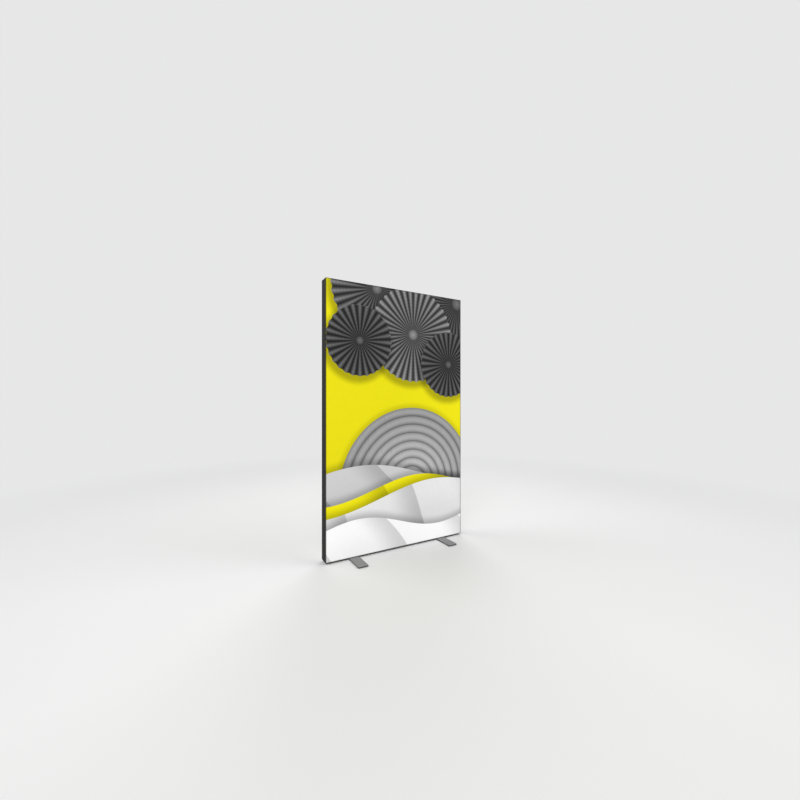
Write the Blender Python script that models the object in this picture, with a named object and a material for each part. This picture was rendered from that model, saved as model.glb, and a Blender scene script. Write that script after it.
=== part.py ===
"""Double-sided fabric lightbox wall, 1.2 m wide and 2 m high, on two swivelling flat feet.

X runs across the wall, Y runs through it with the front facing -Y, and Z is up.
The origin is on the floor, under the middle of the wall. All lengths are in metres.
"""

import math

import bmesh
import bpy
from mathutils import Matrix, Vector

# The wall as a whole
FRAME_WIDTH = 1.200
FRAME_HEIGHT = 2.000
FRAME_DEPTH = 0.085

# Clearances, and how far a cutting shape runs past what it cuts
FIT_GAP = 0.0003
RUNNING_GAP = 0.0005
CUT_OVERRUN = 0.001
ROUND_SIDES = 24

# Frame profile: face wall, fabric groove at each face, and a middle chamber with a slot
FACE_WALL = 0.002
GROOVE_WIDTH = 0.0036
GROOVE_DEPTH = 0.014
GROOVE_LIP = 0.0015
GROOVE_WEB = 0.0018
CHAMBER_WIDTH = 0.040
CHAMBER_HEIGHT = 0.020
CHAMBER_WALL = 0.0018
SLOT_WIDTH = 0.0085

# Fabric prints, with a silicone strip sewn along the edge
FABRIC_THICKNESS = 0.0005

# Corner brackets and splice bars inside the chamber
BRACKET_ARM = 0.090
SPLICE_LENGTH = 0.200
LEAD_IN = 0.0015

# Quarter-turn lock knobs
KNOB_TO_CORNER_ARM_END = 0.030
KNOB_TO_SPLICE_END = 0.048
KNOB_SHAFT_DIAMETER = 0.007
KNOB_TIP_CLEARANCE = 0.002
KNOB_HUB_DIAMETER = 0.016
KNOB_HUB_HEIGHT = 0.004
KNOB_WING_SPAN = 0.030
KNOB_WING_WIDTH = 0.0055
KNOB_WING_HEIGHT = 0.013
KNOB_WING_FOOT_SHARE = 0.7
KNOB_WING_SHOULDER_SHARE = 0.72
KNOB_WING_TIP_SHARE = 0.86
KNOB_WING_DIP_SHARE = 0.8

# T-shaped feet that slide in the profile's slot
T_FOOT_WIDTH = 0.014
T_FOOT_THICKNESS = 0.0024

# Cross bar at half height
CROSS_BAR_WIDTH = 0.025
CROSS_BAR_HEIGHT = 0.015
CROSS_BAR_WALL = 0.0015
CROSS_BRACKET_LENGTH = 0.040
CROSS_BRACKET_WIDTH = 0.030
CROSS_BRACKET_THICKNESS = 0.003
CROSS_SPIGOT_LENGTH = 0.020

# Lights along the uprights
LIGHT_RAIL_WIDTH = 0.020
LIGHT_RAIL_HEIGHT = 0.008
LIGHT_RAIL_TO_INLET = 0.011
LIGHT_RAIL_TO_SPLICE = 0.015
LIGHT_BOARD_WIDTH = 0.012
LIGHT_BOARD_THICKNESS = 0.0016
LENS_COUNT = 12
LENS_LENGTH = 0.016
LENS_HEIGHT = 0.006
LENS_SLOPE = 0.0035
PLUG_BLOCK_LENGTH = 0.012
PLUG_BLOCK_HEIGHT = 0.0075
BOARD_END_MARGIN = 0.001

# Power supply on its tray, on the bottom rail
SUPPLY_LENGTH = 0.230
SUPPLY_WIDTH = 0.044
SUPPLY_HEIGHT = 0.030
SUPPLY_CAP_LENGTH = 0.010
SUPPLY_CAP_INSET = 0.0012
SUPPLY_RIB_COUNT = 4
SUPPLY_RIB_DEPTH = 0.0016
GLAND_DIAMETER = 0.012
GLAND_LENGTH = 0.008
TRAY_SHEET = 0.0015
TRAY_LIP_HEIGHT = 0.014
TRAY_END_MARGIN = 0.006

# Leads inside the frame
MAINS_LEAD_DIAMETER = 0.007
LIGHT_LEAD_DIAMETER = 0.005
LEAD_SIDE_OFFSET = 0.020
LEAD_BEND = 0.034
LEAD_RUN_STEP = 0.060
LEAD_STEP_DIAMETERS = 2.5
LEAD_BEND_MIDDLE_SHARE = 0.3
PLUG_RAMP_SHARE = 0.55

# Mains inlet module in the right upright
INLET_TO_BRACKET = 0.026
INLET_PLATE_HEIGHT = 0.068
INLET_PLATE_THICKNESS = 0.0025
INLET_WINDOW_HEIGHT = 0.056
INLET_WINDOW_WIDTH = 0.028
INLET_BODY_HEIGHT = 0.054
INLET_BODY_WIDTH = 0.027
INLET_BODY_DEPTH = 0.034
SOCKET_WIDTH = 0.0244
SOCKET_HEIGHT = 0.0164
SOCKET_DEPTH = 0.016
SOCKET_CORNER = 0.004
SOCKET_DROP = 0.001
CONTACT_BASE_THICKNESS = 0.002
CONTACT_HEIGHT = 0.008
CONTACT_WIDTH = 0.004
CONTACT_THICKNESS = 0.002
CONTACT_SPACING = 0.014
EARTH_OFFSET = 0.0035

# Rocker switch above the socket
ROCKER_WIDTH = 0.0196
ROCKER_HEIGHT = 0.0124
ROCKER_RISE = 0.018
ROCKER_SWING = math.radians(10)
ROCKER_PIVOT_DEPTH = 0.002
ROCKER_SKIRT_DEPTH = 0.007
ROCKER_SKIRT_WIDTH = 0.014
ROCKER_WELL_DEPTH = 0.012

# Fuse drawer under the socket
DRAWER_WIDTH = 0.022
DRAWER_HEIGHT = 0.0068
DRAWER_DEPTH = 0.020
DRAWER_DROP = 0.019
DRAWER_PULL_WIDTH = 0.010
DRAWER_PULL_HEIGHT = 0.002
DRAWER_PULL_DEPTH = 0.0012
FUSE_DIAMETER = 0.005
FUSE_LENGTH = 0.0196
FUSE_SETBACK = 0.009
FUSE_POCKET_WALL = 0.0006

# Small countersunk screws that hold the inlet plate
SCREW_DIAMETER = 0.003
SCREW_HEAD_DIAMETER = 0.0055
SCREW_HEAD_HEIGHT = 0.0014
SCREW_LENGTH = 0.007
SCREW_SLOT_WIDTH = 0.0008
SCREW_SLOT_DEPTH = 0.0006

# Swivelling feet
FOOT_LENGTH = 0.425
FOOT_WIDTH = 0.078
FOOT_THICKNESS = 0.008
FOOT_CORNER = 0.009
FOOT_EDGE_BREAK = 0.001
FOOT_STOW_MARGIN = 0.001
PAD_LENGTH = 0.060
PAD_WIDTH = 0.062
PAD_HEIGHT = 0.002
PAD_CORNER = 0.006
PAD_TO_FOOT_END = 0.008
CORNER_STEPS = 5
BOLT_DIAMETER = 0.010
BOLT_HEAD_DIAMETER = 0.020
BOLT_KEY_DIAMETER = 0.0065
BOLT_KEY_DEPTH = 0.003
BOLT_TIP_CLEARANCE = 0.003
WASHER_DIAMETER = 0.024
WASHER_THICKNESS = 0.001
CLAMP_LENGTH = 0.060

# Places that follow from the sizes above
HALF_WIDTH = FRAME_WIDTH / 2
HALF_DEPTH = FRAME_DEPTH / 2
FOOT_UNDERSIDE = PAD_HEIGHT + FIT_GAP
FOOT_TOP = FOOT_UNDERSIDE + FOOT_THICKNESS
WASHER_UNDERSIDE = FOOT_TOP + FIT_GAP
FRAME_BASE = WASHER_UNDERSIDE + WASHER_THICKNESS + FIT_GAP
FRAME_TOP = FRAME_BASE + FRAME_HEIGHT
FRAME_MIDDLE = FRAME_BASE + FRAME_HEIGHT / 2
FABRIC_BACK = HALF_DEPTH - FABRIC_THICKNESS
FABRIC_EDGE = FACE_WALL + FIT_GAP
GROOVE_INNER = FACE_WALL + GROOVE_WIDTH
GROOVE_FLOOR = HALF_DEPTH - GROOVE_DEPTH
INSERT_LOW = FACE_WALL + FIT_GAP
INSERT_HIGH = CHAMBER_HEIGHT - CHAMBER_WALL - FIT_GAP
INSERT_WIDTH = CHAMBER_WIDTH - 2 * (CHAMBER_WALL + FIT_GAP)
INNER_FACE = HALF_WIDTH - CHAMBER_HEIGHT
CORNER_KNOB_OFFSET = BRACKET_ARM - KNOB_TO_CORNER_ARM_END
SPLICE_KNOB_OFFSET = SPLICE_LENGTH / 2 - KNOB_TO_SPLICE_END
INLET_HEIGHT = BRACKET_ARM + INLET_TO_BRACKET + INLET_PLATE_HEIGHT / 2
INLET_FACE = FACE_WALL + FIT_GAP
INLET_BACK = INLET_FACE + INLET_BODY_DEPTH
LIGHT_START = INLET_HEIGHT + INLET_PLATE_HEIGHT / 2 + LIGHT_RAIL_TO_INLET
LIGHT_END = (FRAME_HEIGHT - SPLICE_LENGTH) / 2 - LIGHT_RAIL_TO_SPLICE
LIGHT_LENGTH = LIGHT_END - LIGHT_START
LIGHT_MIDDLE = (LIGHT_START + LIGHT_END) / 2
BOARD_BASE = FIT_GAP + LIGHT_RAIL_HEIGHT + FIT_GAP
BOARD_LENGTH = LIGHT_LENGTH - 2 * BOARD_END_MARGIN
FOOT_X = HALF_WIDTH - FOOT_LENGTH / 2 - FOOT_STOW_MARGIN
SUPPLY_BASE = FIT_GAP + TRAY_SHEET + FIT_GAP


def material(name, colour, roughness, metallic):
    """Principled material of one finish; the colour is linear RGB."""
    finish = bpy.data.materials.new(name)
    finish.use_nodes = True
    shader = finish.node_tree.nodes["Principled BSDF"]
    shader.inputs["Base Color"].default_value = (*colour, 1)
    shader.inputs["Roughness"].default_value = roughness
    shader.inputs["Metallic"].default_value = metallic
    finish.diffuse_color = (*colour, 1)
    return finish


def solid(vertices, faces):
    """Closed mesh with its faces turned outwards."""
    mesh = bpy.data.meshes.new("solid")
    mesh.from_pydata(vertices, [], faces)
    shape = bmesh.new()
    shape.from_mesh(mesh)
    bmesh.ops.recalc_face_normals(shape, faces=shape.faces)
    shape.to_mesh(mesh)
    shape.free()
    return mesh


def tube_faces(count, rings, closed):
    """Quads between rings of count vertices each, with end caps unless the rings close."""
    faces = []
    spans = rings if closed else rings - 1
    for ring in range(spans):
        here = ring * count
        there = (ring + 1) % rings * count
        for index in range(count):
            after = (index + 1) % count
            faces.append((here + index, here + after, there + after, there + index))
    if not closed:
        faces.append(tuple(reversed(range(count))))
        faces.append(tuple(range((rings - 1) * count, rings * count)))
    return faces


def prism(outline, low, high, axis):
    """Outline carried straight along an axis; its points lie along the other two, in XYZ order."""
    place = "XYZ".index(axis)
    vertices = []
    for end in (low, high):
        for point in outline:
            vertex = list(point)
            vertex.insert(place, end)
            vertices.append(vertex)
    return solid(vertices, tube_faces(len(outline), 2, False))


def turned(profile, sides=ROUND_SIDES, ring=False):
    """Profile of (radius, height) points turned about Z; a ring's profile is a closed loop."""
    vertices = []
    for side in range(sides):
        angle = 2 * math.pi * side / sides
        for radius, height in profile:
            vertices.append((radius * math.cos(angle), radius * math.sin(angle), height))
    if ring:
        return solid(vertices, tube_faces(len(profile), sides, True))
    count = len(profile)
    faces = []
    for side in range(sides):
        here = side * count
        there = (side + 1) % sides * count
        for index in range(count - 1):
            faces.append((here + index, there + index, there + index + 1, here + index + 1))
    faces.append(tuple(side * count for side in range(sides)))
    faces.append(tuple(side * count + count - 1 for side in range(sides)))
    return solid(vertices, faces)


def box(size, centre=(0, 0, 0)):
    """Plain block of a size about a centre."""
    half = [extent / 2 for extent in size]
    outline = [(-half[1], -half[2]), (half[1], -half[2]), (half[1], half[2]), (-half[1], half[2])]
    return moved(prism(outline, -half[0], half[0], "X"), centre)


def moved(mesh, offset, turn=None):
    """The mesh itself, turned by a matrix if one is given, then shifted."""
    matrix = Matrix.Translation(offset)
    if turn is not None:
        matrix = matrix @ turn
    mesh.transform(matrix)
    return mesh


def combined(base, tool, operation):
    """New mesh of the base with the tool joined to it or cut from it."""
    holder = bpy.data.objects.new("holder", base)
    operand = bpy.data.objects.new("operand", tool)
    for item in (holder, operand):
        bpy.context.scene.collection.objects.link(item)
    modifier = holder.modifiers.new("Boolean", "BOOLEAN")
    modifier.operation = operation
    modifier.object = operand
    depsgraph = bpy.context.evaluated_depsgraph_get()
    result = bpy.data.meshes.new_from_object(holder.evaluated_get(depsgraph))
    bpy.data.objects.remove(holder)
    bpy.data.objects.remove(operand)
    return result


def joined(base, *tools):
    """Union of the base with each tool."""
    for tool in tools:
        base = combined(base, tool, "UNION")
    return base


def cut(base, *tools):
    """The base with each tool cut from it."""
    for tool in tools:
        base = combined(base, tool, "DIFFERENCE")
    return base


def rod(diameter, low, high, axis="Z", sides=ROUND_SIDES):
    """Round bar along an axis through the origin."""
    mesh = turned([(diameter / 2, low), (diameter / 2, high)], sides)
    if axis == "X":
        mesh.transform(Matrix.Rotation(math.pi / 2, 4, "Y"))
    if axis == "Y":
        mesh.transform(Matrix.Rotation(-math.pi / 2, 4, "X"))
    return mesh


def rounded_rectangle(width, length, radius):
    """Outline about the origin with an arc at each corner."""
    points = []
    for quarter, (across, along) in enumerate(((1, 1), (-1, 1), (-1, -1), (1, -1))):
        for step in range(CORNER_STEPS + 1):
            angle = math.pi / 2 * (quarter + step / CORNER_STEPS)
            x = across * (width / 2 - radius) + radius * math.cos(angle)
            y = along * (length / 2 - radius) + radius * math.sin(angle)
            points.append((x, y))
    return points


def mirrored(half):
    """Closed outline from its half at positive first coordinate."""
    return half + [(-across, height) for across, height in reversed(half)]


def place(name, mesh, finish, location, turn=0, parent=None):
    """Object of a mesh at a location, turned about Y, or set under a parent."""
    item = bpy.data.objects.new(name, mesh)
    bpy.context.scene.collection.objects.link(item)
    if not mesh.materials:
        mesh.materials.append(finish)
    item.location = location
    item.rotation_euler.y = turn
    item.parent = parent
    return item


def round_shaded(mesh):
    """The mesh with smooth round faces and sharp edges kept."""
    mesh.shade_smooth()
    mesh.set_sharp_from_angle(angle=math.radians(35))
    return mesh


def axis_empty(name, location):
    """Empty that stands on a joint's axis."""
    empty = bpy.data.objects.new(name, None)
    bpy.context.scene.collection.objects.link(empty)
    empty.location = location
    empty.empty_display_size = KNOB_WING_SPAN
    return empty


# Frame profile


def profile_outline():
    """Profile section as (depth, height below the outer face), symmetric about its middle."""
    inner_wall = CHAMBER_HEIGHT - CHAMBER_WALL
    lip_end = FABRIC_BACK - FIT_GAP
    lip_inner = GROOVE_INNER + GROOVE_LIP
    web_inner = GROOVE_FLOOR - GROOVE_WEB
    chamber_inner = CHAMBER_WIDTH / 2 - CHAMBER_WALL
    return mirrored([
        (HALF_DEPTH, 0),
        (HALF_DEPTH, FACE_WALL),
        (GROOVE_FLOOR, FACE_WALL),
        (GROOVE_FLOOR, GROOVE_INNER),
        (lip_end, GROOVE_INNER),
        (lip_end, lip_inner),
        (web_inner, lip_inner),
        (web_inner, FACE_WALL),
        (CHAMBER_WIDTH / 2, FACE_WALL),
        (CHAMBER_WIDTH / 2, CHAMBER_HEIGHT),
        (SLOT_WIDTH / 2, CHAMBER_HEIGHT),
        (SLOT_WIDTH / 2, inner_wall),
        (chamber_inner, inner_wall),
        (chamber_inner, FACE_WALL),
    ])


def profile_length(length, mitred_start, mitred_end):
    """Profile along X about the origin, its outer face up at zero height."""
    outline = profile_outline()
    mitre_back = FIT_GAP / math.sqrt(2)
    vertices = []
    for side, mitred in ((-1, mitred_start), (1, mitred_end)):
        for depth, height in outline:
            back = height + mitre_back if mitred else FIT_GAP / 2
            vertices.append((side * (length / 2 - back), depth, -height))
    return solid(vertices, tube_faces(len(outline), 2, False))


def window_cutters(centre):
    """Shapes that open the right upright for the inlet, along the profile's own X."""
    through_face = box(
        (INLET_WINDOW_HEIGHT, INLET_WINDOW_WIDTH, FACE_WALL + 2 * CUT_OVERRUN),
        (centre, 0, -FACE_WALL / 2),
    )
    passage = (
        INLET_BODY_HEIGHT + 2 * RUNNING_GAP,
        INLET_BODY_WIDTH + 2 * RUNNING_GAP,
        CHAMBER_WALL + 2 * CUT_OVERRUN,
    )
    through_inner = box(passage, (centre, 0, CHAMBER_WALL / 2 - CHAMBER_HEIGHT))
    return through_face, through_inner


def screw_head_profile(growth):
    """Countersunk head and shank under a face at zero height, grown outwards by a clearance."""
    head = SCREW_HEAD_DIAMETER / 2 + growth
    shank = SCREW_DIAMETER / 2 + growth
    return [(shank, -SCREW_LENGTH), (shank, -SCREW_HEAD_HEIGHT - growth), (head, -growth), (head, 0)]


def screw_hole(centre):
    """Countersunk hole through the profile's face wall."""
    profile = screw_head_profile(FIT_GAP)
    profile.append((profile[-1][0], CUT_OVERRUN))
    profile[0] = (profile[0][0], -FACE_WALL - CUT_OVERRUN)
    return moved(turned(profile), (centre, 0, 0))


def build_frame(finish):
    """Two rails and two uprights, each upright in two halves."""
    half = FRAME_HEIGHT / 2
    quarter = FRAME_HEIGHT / 4
    place("top_rail", profile_length(FRAME_WIDTH, True, True), finish, (0, 0, FRAME_TOP))
    bottom = profile_length(FRAME_WIDTH, True, True)
    for side in (-1, 1):
        hole = rod(BOLT_DIAMETER + 2 * RUNNING_GAP, -FACE_WALL - CUT_OVERRUN, CUT_OVERRUN)
        bottom = cut(bottom, moved(hole, (side * FOOT_X, 0, 0)))
    place("bottom_rail", bottom, finish, (0, 0, FRAME_BASE), math.pi)

    lower = FRAME_BASE + quarter
    upper = FRAME_TOP - quarter
    on_left = -math.pi / 2
    on_right = math.pi / 2
    place("left_upright_lower", profile_length(half, True, False), finish, (-HALF_WIDTH, 0, lower), on_left)
    place("left_upright_upper", profile_length(half, False, True), finish, (-HALF_WIDTH, 0, upper), on_left)
    place("right_upright_upper", profile_length(half, True, False), finish, (HALF_WIDTH, 0, upper), on_right)
    opened = profile_length(half, False, True)
    window_centre = quarter - INLET_HEIGHT
    opened = cut(opened, *window_cutters(window_centre))
    screw_offset = screw_from_inlet()
    opened = cut(opened, screw_hole(window_centre - screw_offset), screw_hole(window_centre + screw_offset))
    place("right_upright_lower", opened, finish, (HALF_WIDTH, 0, lower), on_right)


def screw_from_inlet():
    """Distance of each inlet screw from the inlet's centre."""
    return (INLET_PLATE_HEIGHT + INLET_WINDOW_HEIGHT) / 4


# Corner brackets, splice bars and lock knobs


def bracket_mesh(across, up):
    """L-shaped bracket from an outer frame corner; across and up point out of the frame."""
    low, high, end, lead = INSERT_LOW, INSERT_HIGH, BRACKET_ARM, LEAD_IN
    outline = [
        (low, low),
        (low, end - lead),
        (low + lead, end),
        (high - lead, end),
        (high, end - lead),
        (high, high),
        (end - lead, high),
        (end, high - lead),
        (end, low + lead),
        (end - lead, low),
    ]
    points = [(-across * x, -up * z) for x, z in outline]
    mesh = prism(points, -INSERT_WIDTH / 2, INSERT_WIDTH / 2, "Y")
    hole = rod(KNOB_SHAFT_DIAMETER + 2 * RUNNING_GAP, -CHAMBER_HEIGHT, CHAMBER_HEIGHT, "X")
    return cut(mesh, moved(hole, (0, 0, -up * CORNER_KNOB_OFFSET)))


def splice_mesh(across):
    """Straight bar that joins two upright halves; across points out of the frame."""
    low, high, end, lead = INSERT_LOW, INSERT_HIGH, SPLICE_LENGTH / 2, LEAD_IN
    half = [(low, end - lead), (low + lead, end), (high - lead, end), (high, end - lead)]
    outline = half + [(x, -z) for x, z in reversed(half)]
    mesh = prism([(-across * x, z) for x, z in outline], -INSERT_WIDTH / 2, INSERT_WIDTH / 2, "Y")
    hole = rod(KNOB_SHAFT_DIAMETER + 2 * RUNNING_GAP, -CHAMBER_HEIGHT, CHAMBER_HEIGHT, "X")
    return cut(mesh, moved(hole, (0, 0, SPLICE_KNOB_OFFSET)))


def knob_mesh():
    """Wing knob about Z, its shaft down through the slot and its wing along X."""
    shaft = KNOB_SHAFT_DIAMETER / 2
    hub = KNOB_HUB_DIAMETER / 2
    tip = FACE_WALL + KNOB_TIP_CLEARANCE - CHAMBER_HEIGHT
    stem = turned([
        (shaft - LEAD_IN / 2, tip),
        (shaft, tip + LEAD_IN / 2),
        (shaft, FIT_GAP),
        (hub, FIT_GAP),
        (hub, KNOB_HUB_HEIGHT),
    ])
    half_span = KNOB_WING_SPAN / 2
    wing = prism(
        mirrored([
            (hub / 2, KNOB_HUB_HEIGHT / 2),
            (half_span * KNOB_WING_FOOT_SHARE, KNOB_HUB_HEIGHT / 2),
            (half_span, KNOB_WING_HEIGHT * KNOB_WING_SHOULDER_SHARE),
            (half_span * KNOB_WING_TIP_SHARE, KNOB_WING_HEIGHT),
            (hub / 2, KNOB_WING_HEIGHT * KNOB_WING_DIP_SHARE),
        ]),
        -KNOB_WING_WIDTH / 2,
        KNOB_WING_WIDTH / 2,
        "Y",
    )
    return joined(stem, wing)


def build_joinery(cast, plastic):
    """Brackets in the corners, splices at half height, and a lock knob on each."""
    knob = round_shaded(knob_mesh())
    for side_name, across in (("left", -1), ("right", 1)):
        turn = -across * math.pi / 2
        slot_x = across * INNER_FACE
        for end_name, up, height in (("bottom", -1, FRAME_BASE), ("top", 1, FRAME_TOP)):
            corner = f"{end_name}_{side_name}"
            bracket = bracket_mesh(across, up)
            place(f"corner_bracket_{corner}", bracket, cast, (across * HALF_WIDTH, 0, height))
            knob_height = height - up * CORNER_KNOB_OFFSET
            place(f"lock_knob_{corner}", knob, plastic, (slot_x, 0, knob_height), turn)
        place(f"splice_bar_{side_name}", splice_mesh(across), cast, (across * HALF_WIDTH, 0, FRAME_MIDDLE))
        knob_height = FRAME_MIDDLE + SPLICE_KNOB_OFFSET
        place(f"lock_knob_splice_{side_name}", knob, plastic, (slot_x, 0, knob_height), turn)


# Pieces that slide in the slot


def t_section(body):
    """Section of a piece in the slot: foot, neck and body; the slot's mouth is at zero height."""
    foot_top = -CHAMBER_WALL - FIT_GAP
    neck = SLOT_WIDTH / 2 - FIT_GAP
    return mirrored([
        (T_FOOT_WIDTH / 2, foot_top - T_FOOT_THICKNESS),
        (T_FOOT_WIDTH / 2, foot_top),
        (neck, foot_top),
        (neck, FIT_GAP),
        *body,
    ])


def build_cross_bar(cast, metal):
    """Level bar between the uprights; each bracket's rib sits in the slot, against the splice bar."""
    plate_top = FIT_GAP + CROSS_BRACKET_THICKNESS
    rib = SLOT_WIDTH / 2 - FIT_GAP
    section = mirrored([
        (rib, -CHAMBER_WALL),
        (rib, FIT_GAP),
        (CROSS_BRACKET_WIDTH / 2, FIT_GAP),
        (CROSS_BRACKET_WIDTH / 2, plate_top),
    ])
    plate = prism(section, -CROSS_BRACKET_LENGTH / 2, CROSS_BRACKET_LENGTH / 2, "X")
    inner_height = CROSS_BAR_HEIGHT - 2 * (CROSS_BAR_WALL + FIT_GAP)
    inner_width = CROSS_BAR_WIDTH - 2 * (CROSS_BAR_WALL + FIT_GAP)
    spigot_length = CROSS_SPIGOT_LENGTH + CROSS_BRACKET_THICKNESS / 2
    spigot_centre = (0, 0, plate_top - CROSS_BRACKET_THICKNESS / 2 + spigot_length / 2)
    bracket = joined(plate, box((inner_height, inner_width, spigot_length), spigot_centre))
    place("cross_bar_bracket_left", bracket, cast, (-INNER_FACE, 0, FRAME_MIDDLE), math.pi / 2)
    place("cross_bar_bracket_right", bracket, cast, (INNER_FACE, 0, FRAME_MIDDLE), -math.pi / 2)

    length = 2 * (INNER_FACE - plate_top - FIT_GAP)
    outer = box((length, CROSS_BAR_WIDTH, CROSS_BAR_HEIGHT))
    hollow = (
        length + 2 * CUT_OVERRUN,
        CROSS_BAR_WIDTH - 2 * CROSS_BAR_WALL,
        CROSS_BAR_HEIGHT - 2 * CROSS_BAR_WALL,
    )
    place("cross_bar", cut(outer, box(hollow)), metal, (0, 0, FRAME_MIDDLE))


def board_mesh():
    """Circuit board with a row of lenses and a plug block at each end, along X."""
    top = LIGHT_BOARD_THICKNESS
    end = BOARD_LENGTH / 2
    block = top + PLUG_BLOCK_HEIGHT
    block_start = end - PLUG_BLOCK_LENGTH
    outline = [(-end, 0), (end, 0), (end, block), (block_start, block), (block_start, top)]
    pitch = (BOARD_LENGTH - 2 * PLUG_BLOCK_LENGTH) / LENS_COUNT
    for index in reversed(range(LENS_COUNT)):
        centre = pitch * (index - (LENS_COUNT - 1) / 2)
        outline.append((centre + LENS_LENGTH / 2, top))
        outline.append((centre + LENS_LENGTH / 2 - LENS_SLOPE, top + LENS_HEIGHT))
        outline.append((centre - LENS_LENGTH / 2 + LENS_SLOPE, top + LENS_HEIGHT))
        outline.append((centre - LENS_LENGTH / 2, top))
    outline += [(-block_start, top), (-block_start, block), (-end, block)]
    return prism(outline, -LIGHT_BOARD_WIDTH / 2, LIGHT_BOARD_WIDTH / 2, "Y")


def build_lights(metal, board_finish):
    """Light rail and lens board on each half of each upright."""
    rail_top = FIT_GAP + LIGHT_RAIL_HEIGHT
    section = t_section([(LIGHT_RAIL_WIDTH / 2, FIT_GAP), (LIGHT_RAIL_WIDTH / 2, rail_top)])
    rail = prism(section, -LIGHT_LENGTH / 2, LIGHT_LENGTH / 2, "X")
    board = board_mesh()
    for side_name, across in (("left", -1), ("right", 1)):
        turn = -across * math.pi / 2
        for end_name, height in (("lower", FRAME_BASE + LIGHT_MIDDLE), ("upper", FRAME_TOP - LIGHT_MIDDLE)):
            place(f"light_rail_{side_name}_{end_name}", rail, metal, (across * INNER_FACE, 0, height), turn)
            board_x = across * (INNER_FACE - BOARD_BASE)
            place(f"lens_board_{side_name}_{end_name}", board, board_finish, (board_x, 0, height), turn)


# Power supply


def supply_section():
    """Section of the supply's ribbed case, as (across, height)."""
    half_width = SUPPLY_WIDTH / 2
    half = [(half_width, 0)]
    pitch = SUPPLY_HEIGHT / (2 * SUPPLY_RIB_COUNT + 1)
    for rib in range(SUPPLY_RIB_COUNT):
        start = pitch * (2 * rib + 1)
        half.append((half_width, start))
        half.append((half_width - SUPPLY_RIB_DEPTH, start))
        half.append((half_width - SUPPLY_RIB_DEPTH, start + pitch))
        half.append((half_width, start + pitch))
    half.append((half_width, SUPPLY_HEIGHT))
    return mirrored(half)


def build_supply(metal, dark_metal):
    """Ribbed power supply on a folded tray that slides in the bottom rail's slot."""
    half_length = SUPPLY_LENGTH / 2
    case = prism(supply_section(), -half_length, half_length, "X")
    cap_size = (
        SUPPLY_CAP_LENGTH,
        SUPPLY_WIDTH - 2 * SUPPLY_CAP_INSET,
        SUPPLY_HEIGHT - 2 * SUPPLY_CAP_INSET,
    )
    middle = SUPPLY_HEIGHT / 2
    cap_reach = SUPPLY_CAP_LENGTH / 2
    for side in (-1, 1):
        cap = box(cap_size, (side * half_length, 0, middle))
        gland_ends = sorted((0, side * (cap_reach + GLAND_LENGTH)))
        gland = moved(rod(GLAND_DIAMETER, *gland_ends, "X"), (side * half_length, 0, middle))
        case = joined(case, cap, gland)
    base = (0, 0, FRAME_BASE + CHAMBER_HEIGHT + SUPPLY_BASE)
    place("power_supply", case, dark_metal, base)

    inner = SUPPLY_WIDTH / 2 + RUNNING_GAP
    outer = inner + TRAY_SHEET
    floor = FIT_GAP + TRAY_SHEET
    lip = FIT_GAP + TRAY_LIP_HEIGHT
    section = t_section([(outer, FIT_GAP), (outer, lip), (inner, lip), (inner, floor)])
    tray_half = half_length + cap_reach + TRAY_END_MARGIN
    tray = prism(section, -tray_half, tray_half, "X")
    place("power_supply_tray", tray, metal, (0, 0, FRAME_BASE + CHAMBER_HEIGHT))


# Fabric prints and their edge strips


def build_graphics(fabric, silicone):
    """Print and edge strip at each face."""
    width = FRAME_WIDTH - 2 * FABRIC_EDGE
    height = FRAME_HEIGHT - 2 * FABRIC_EDGE
    strip_inner = 2 * (GROOVE_WIDTH - 2 * FIT_GAP)
    strip_low = GROOVE_FLOOR + FIT_GAP
    strip_high = FABRIC_BACK - FIT_GAP
    depth = strip_high - strip_low
    strip_middle = (strip_low + strip_high) / 2
    for name, facing in (("front", -1), ("back", 1)):
        sheet = box((width, FABRIC_THICKNESS, height))
        sheet_y = facing * (FABRIC_BACK + FABRIC_THICKNESS / 2)
        place(f"{name}_graphic", sheet, fabric, (0, sheet_y, FRAME_MIDDLE))
        opening = box((width - strip_inner, depth + 2 * CUT_OVERRUN, height - strip_inner))
        strip = cut(box((width, depth, height)), opening)
        place(f"{name}_edge_strip", strip, silicone, (0, facing * strip_middle, FRAME_MIDDLE))


# Mains inlet


def socket_outline(growth):
    """Socket mouth as (across, height) with its two lower corners cut off."""
    across = SOCKET_WIDTH / 2 + growth
    up = SOCKET_HEIGHT / 2 + growth
    return [
        (-across, up),
        (-across, -up + SOCKET_CORNER),
        (-across + SOCKET_CORNER, -up),
        (across - SOCKET_CORNER, -up),
        (across, -up + SOCKET_CORNER),
        (across, up),
    ]


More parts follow.
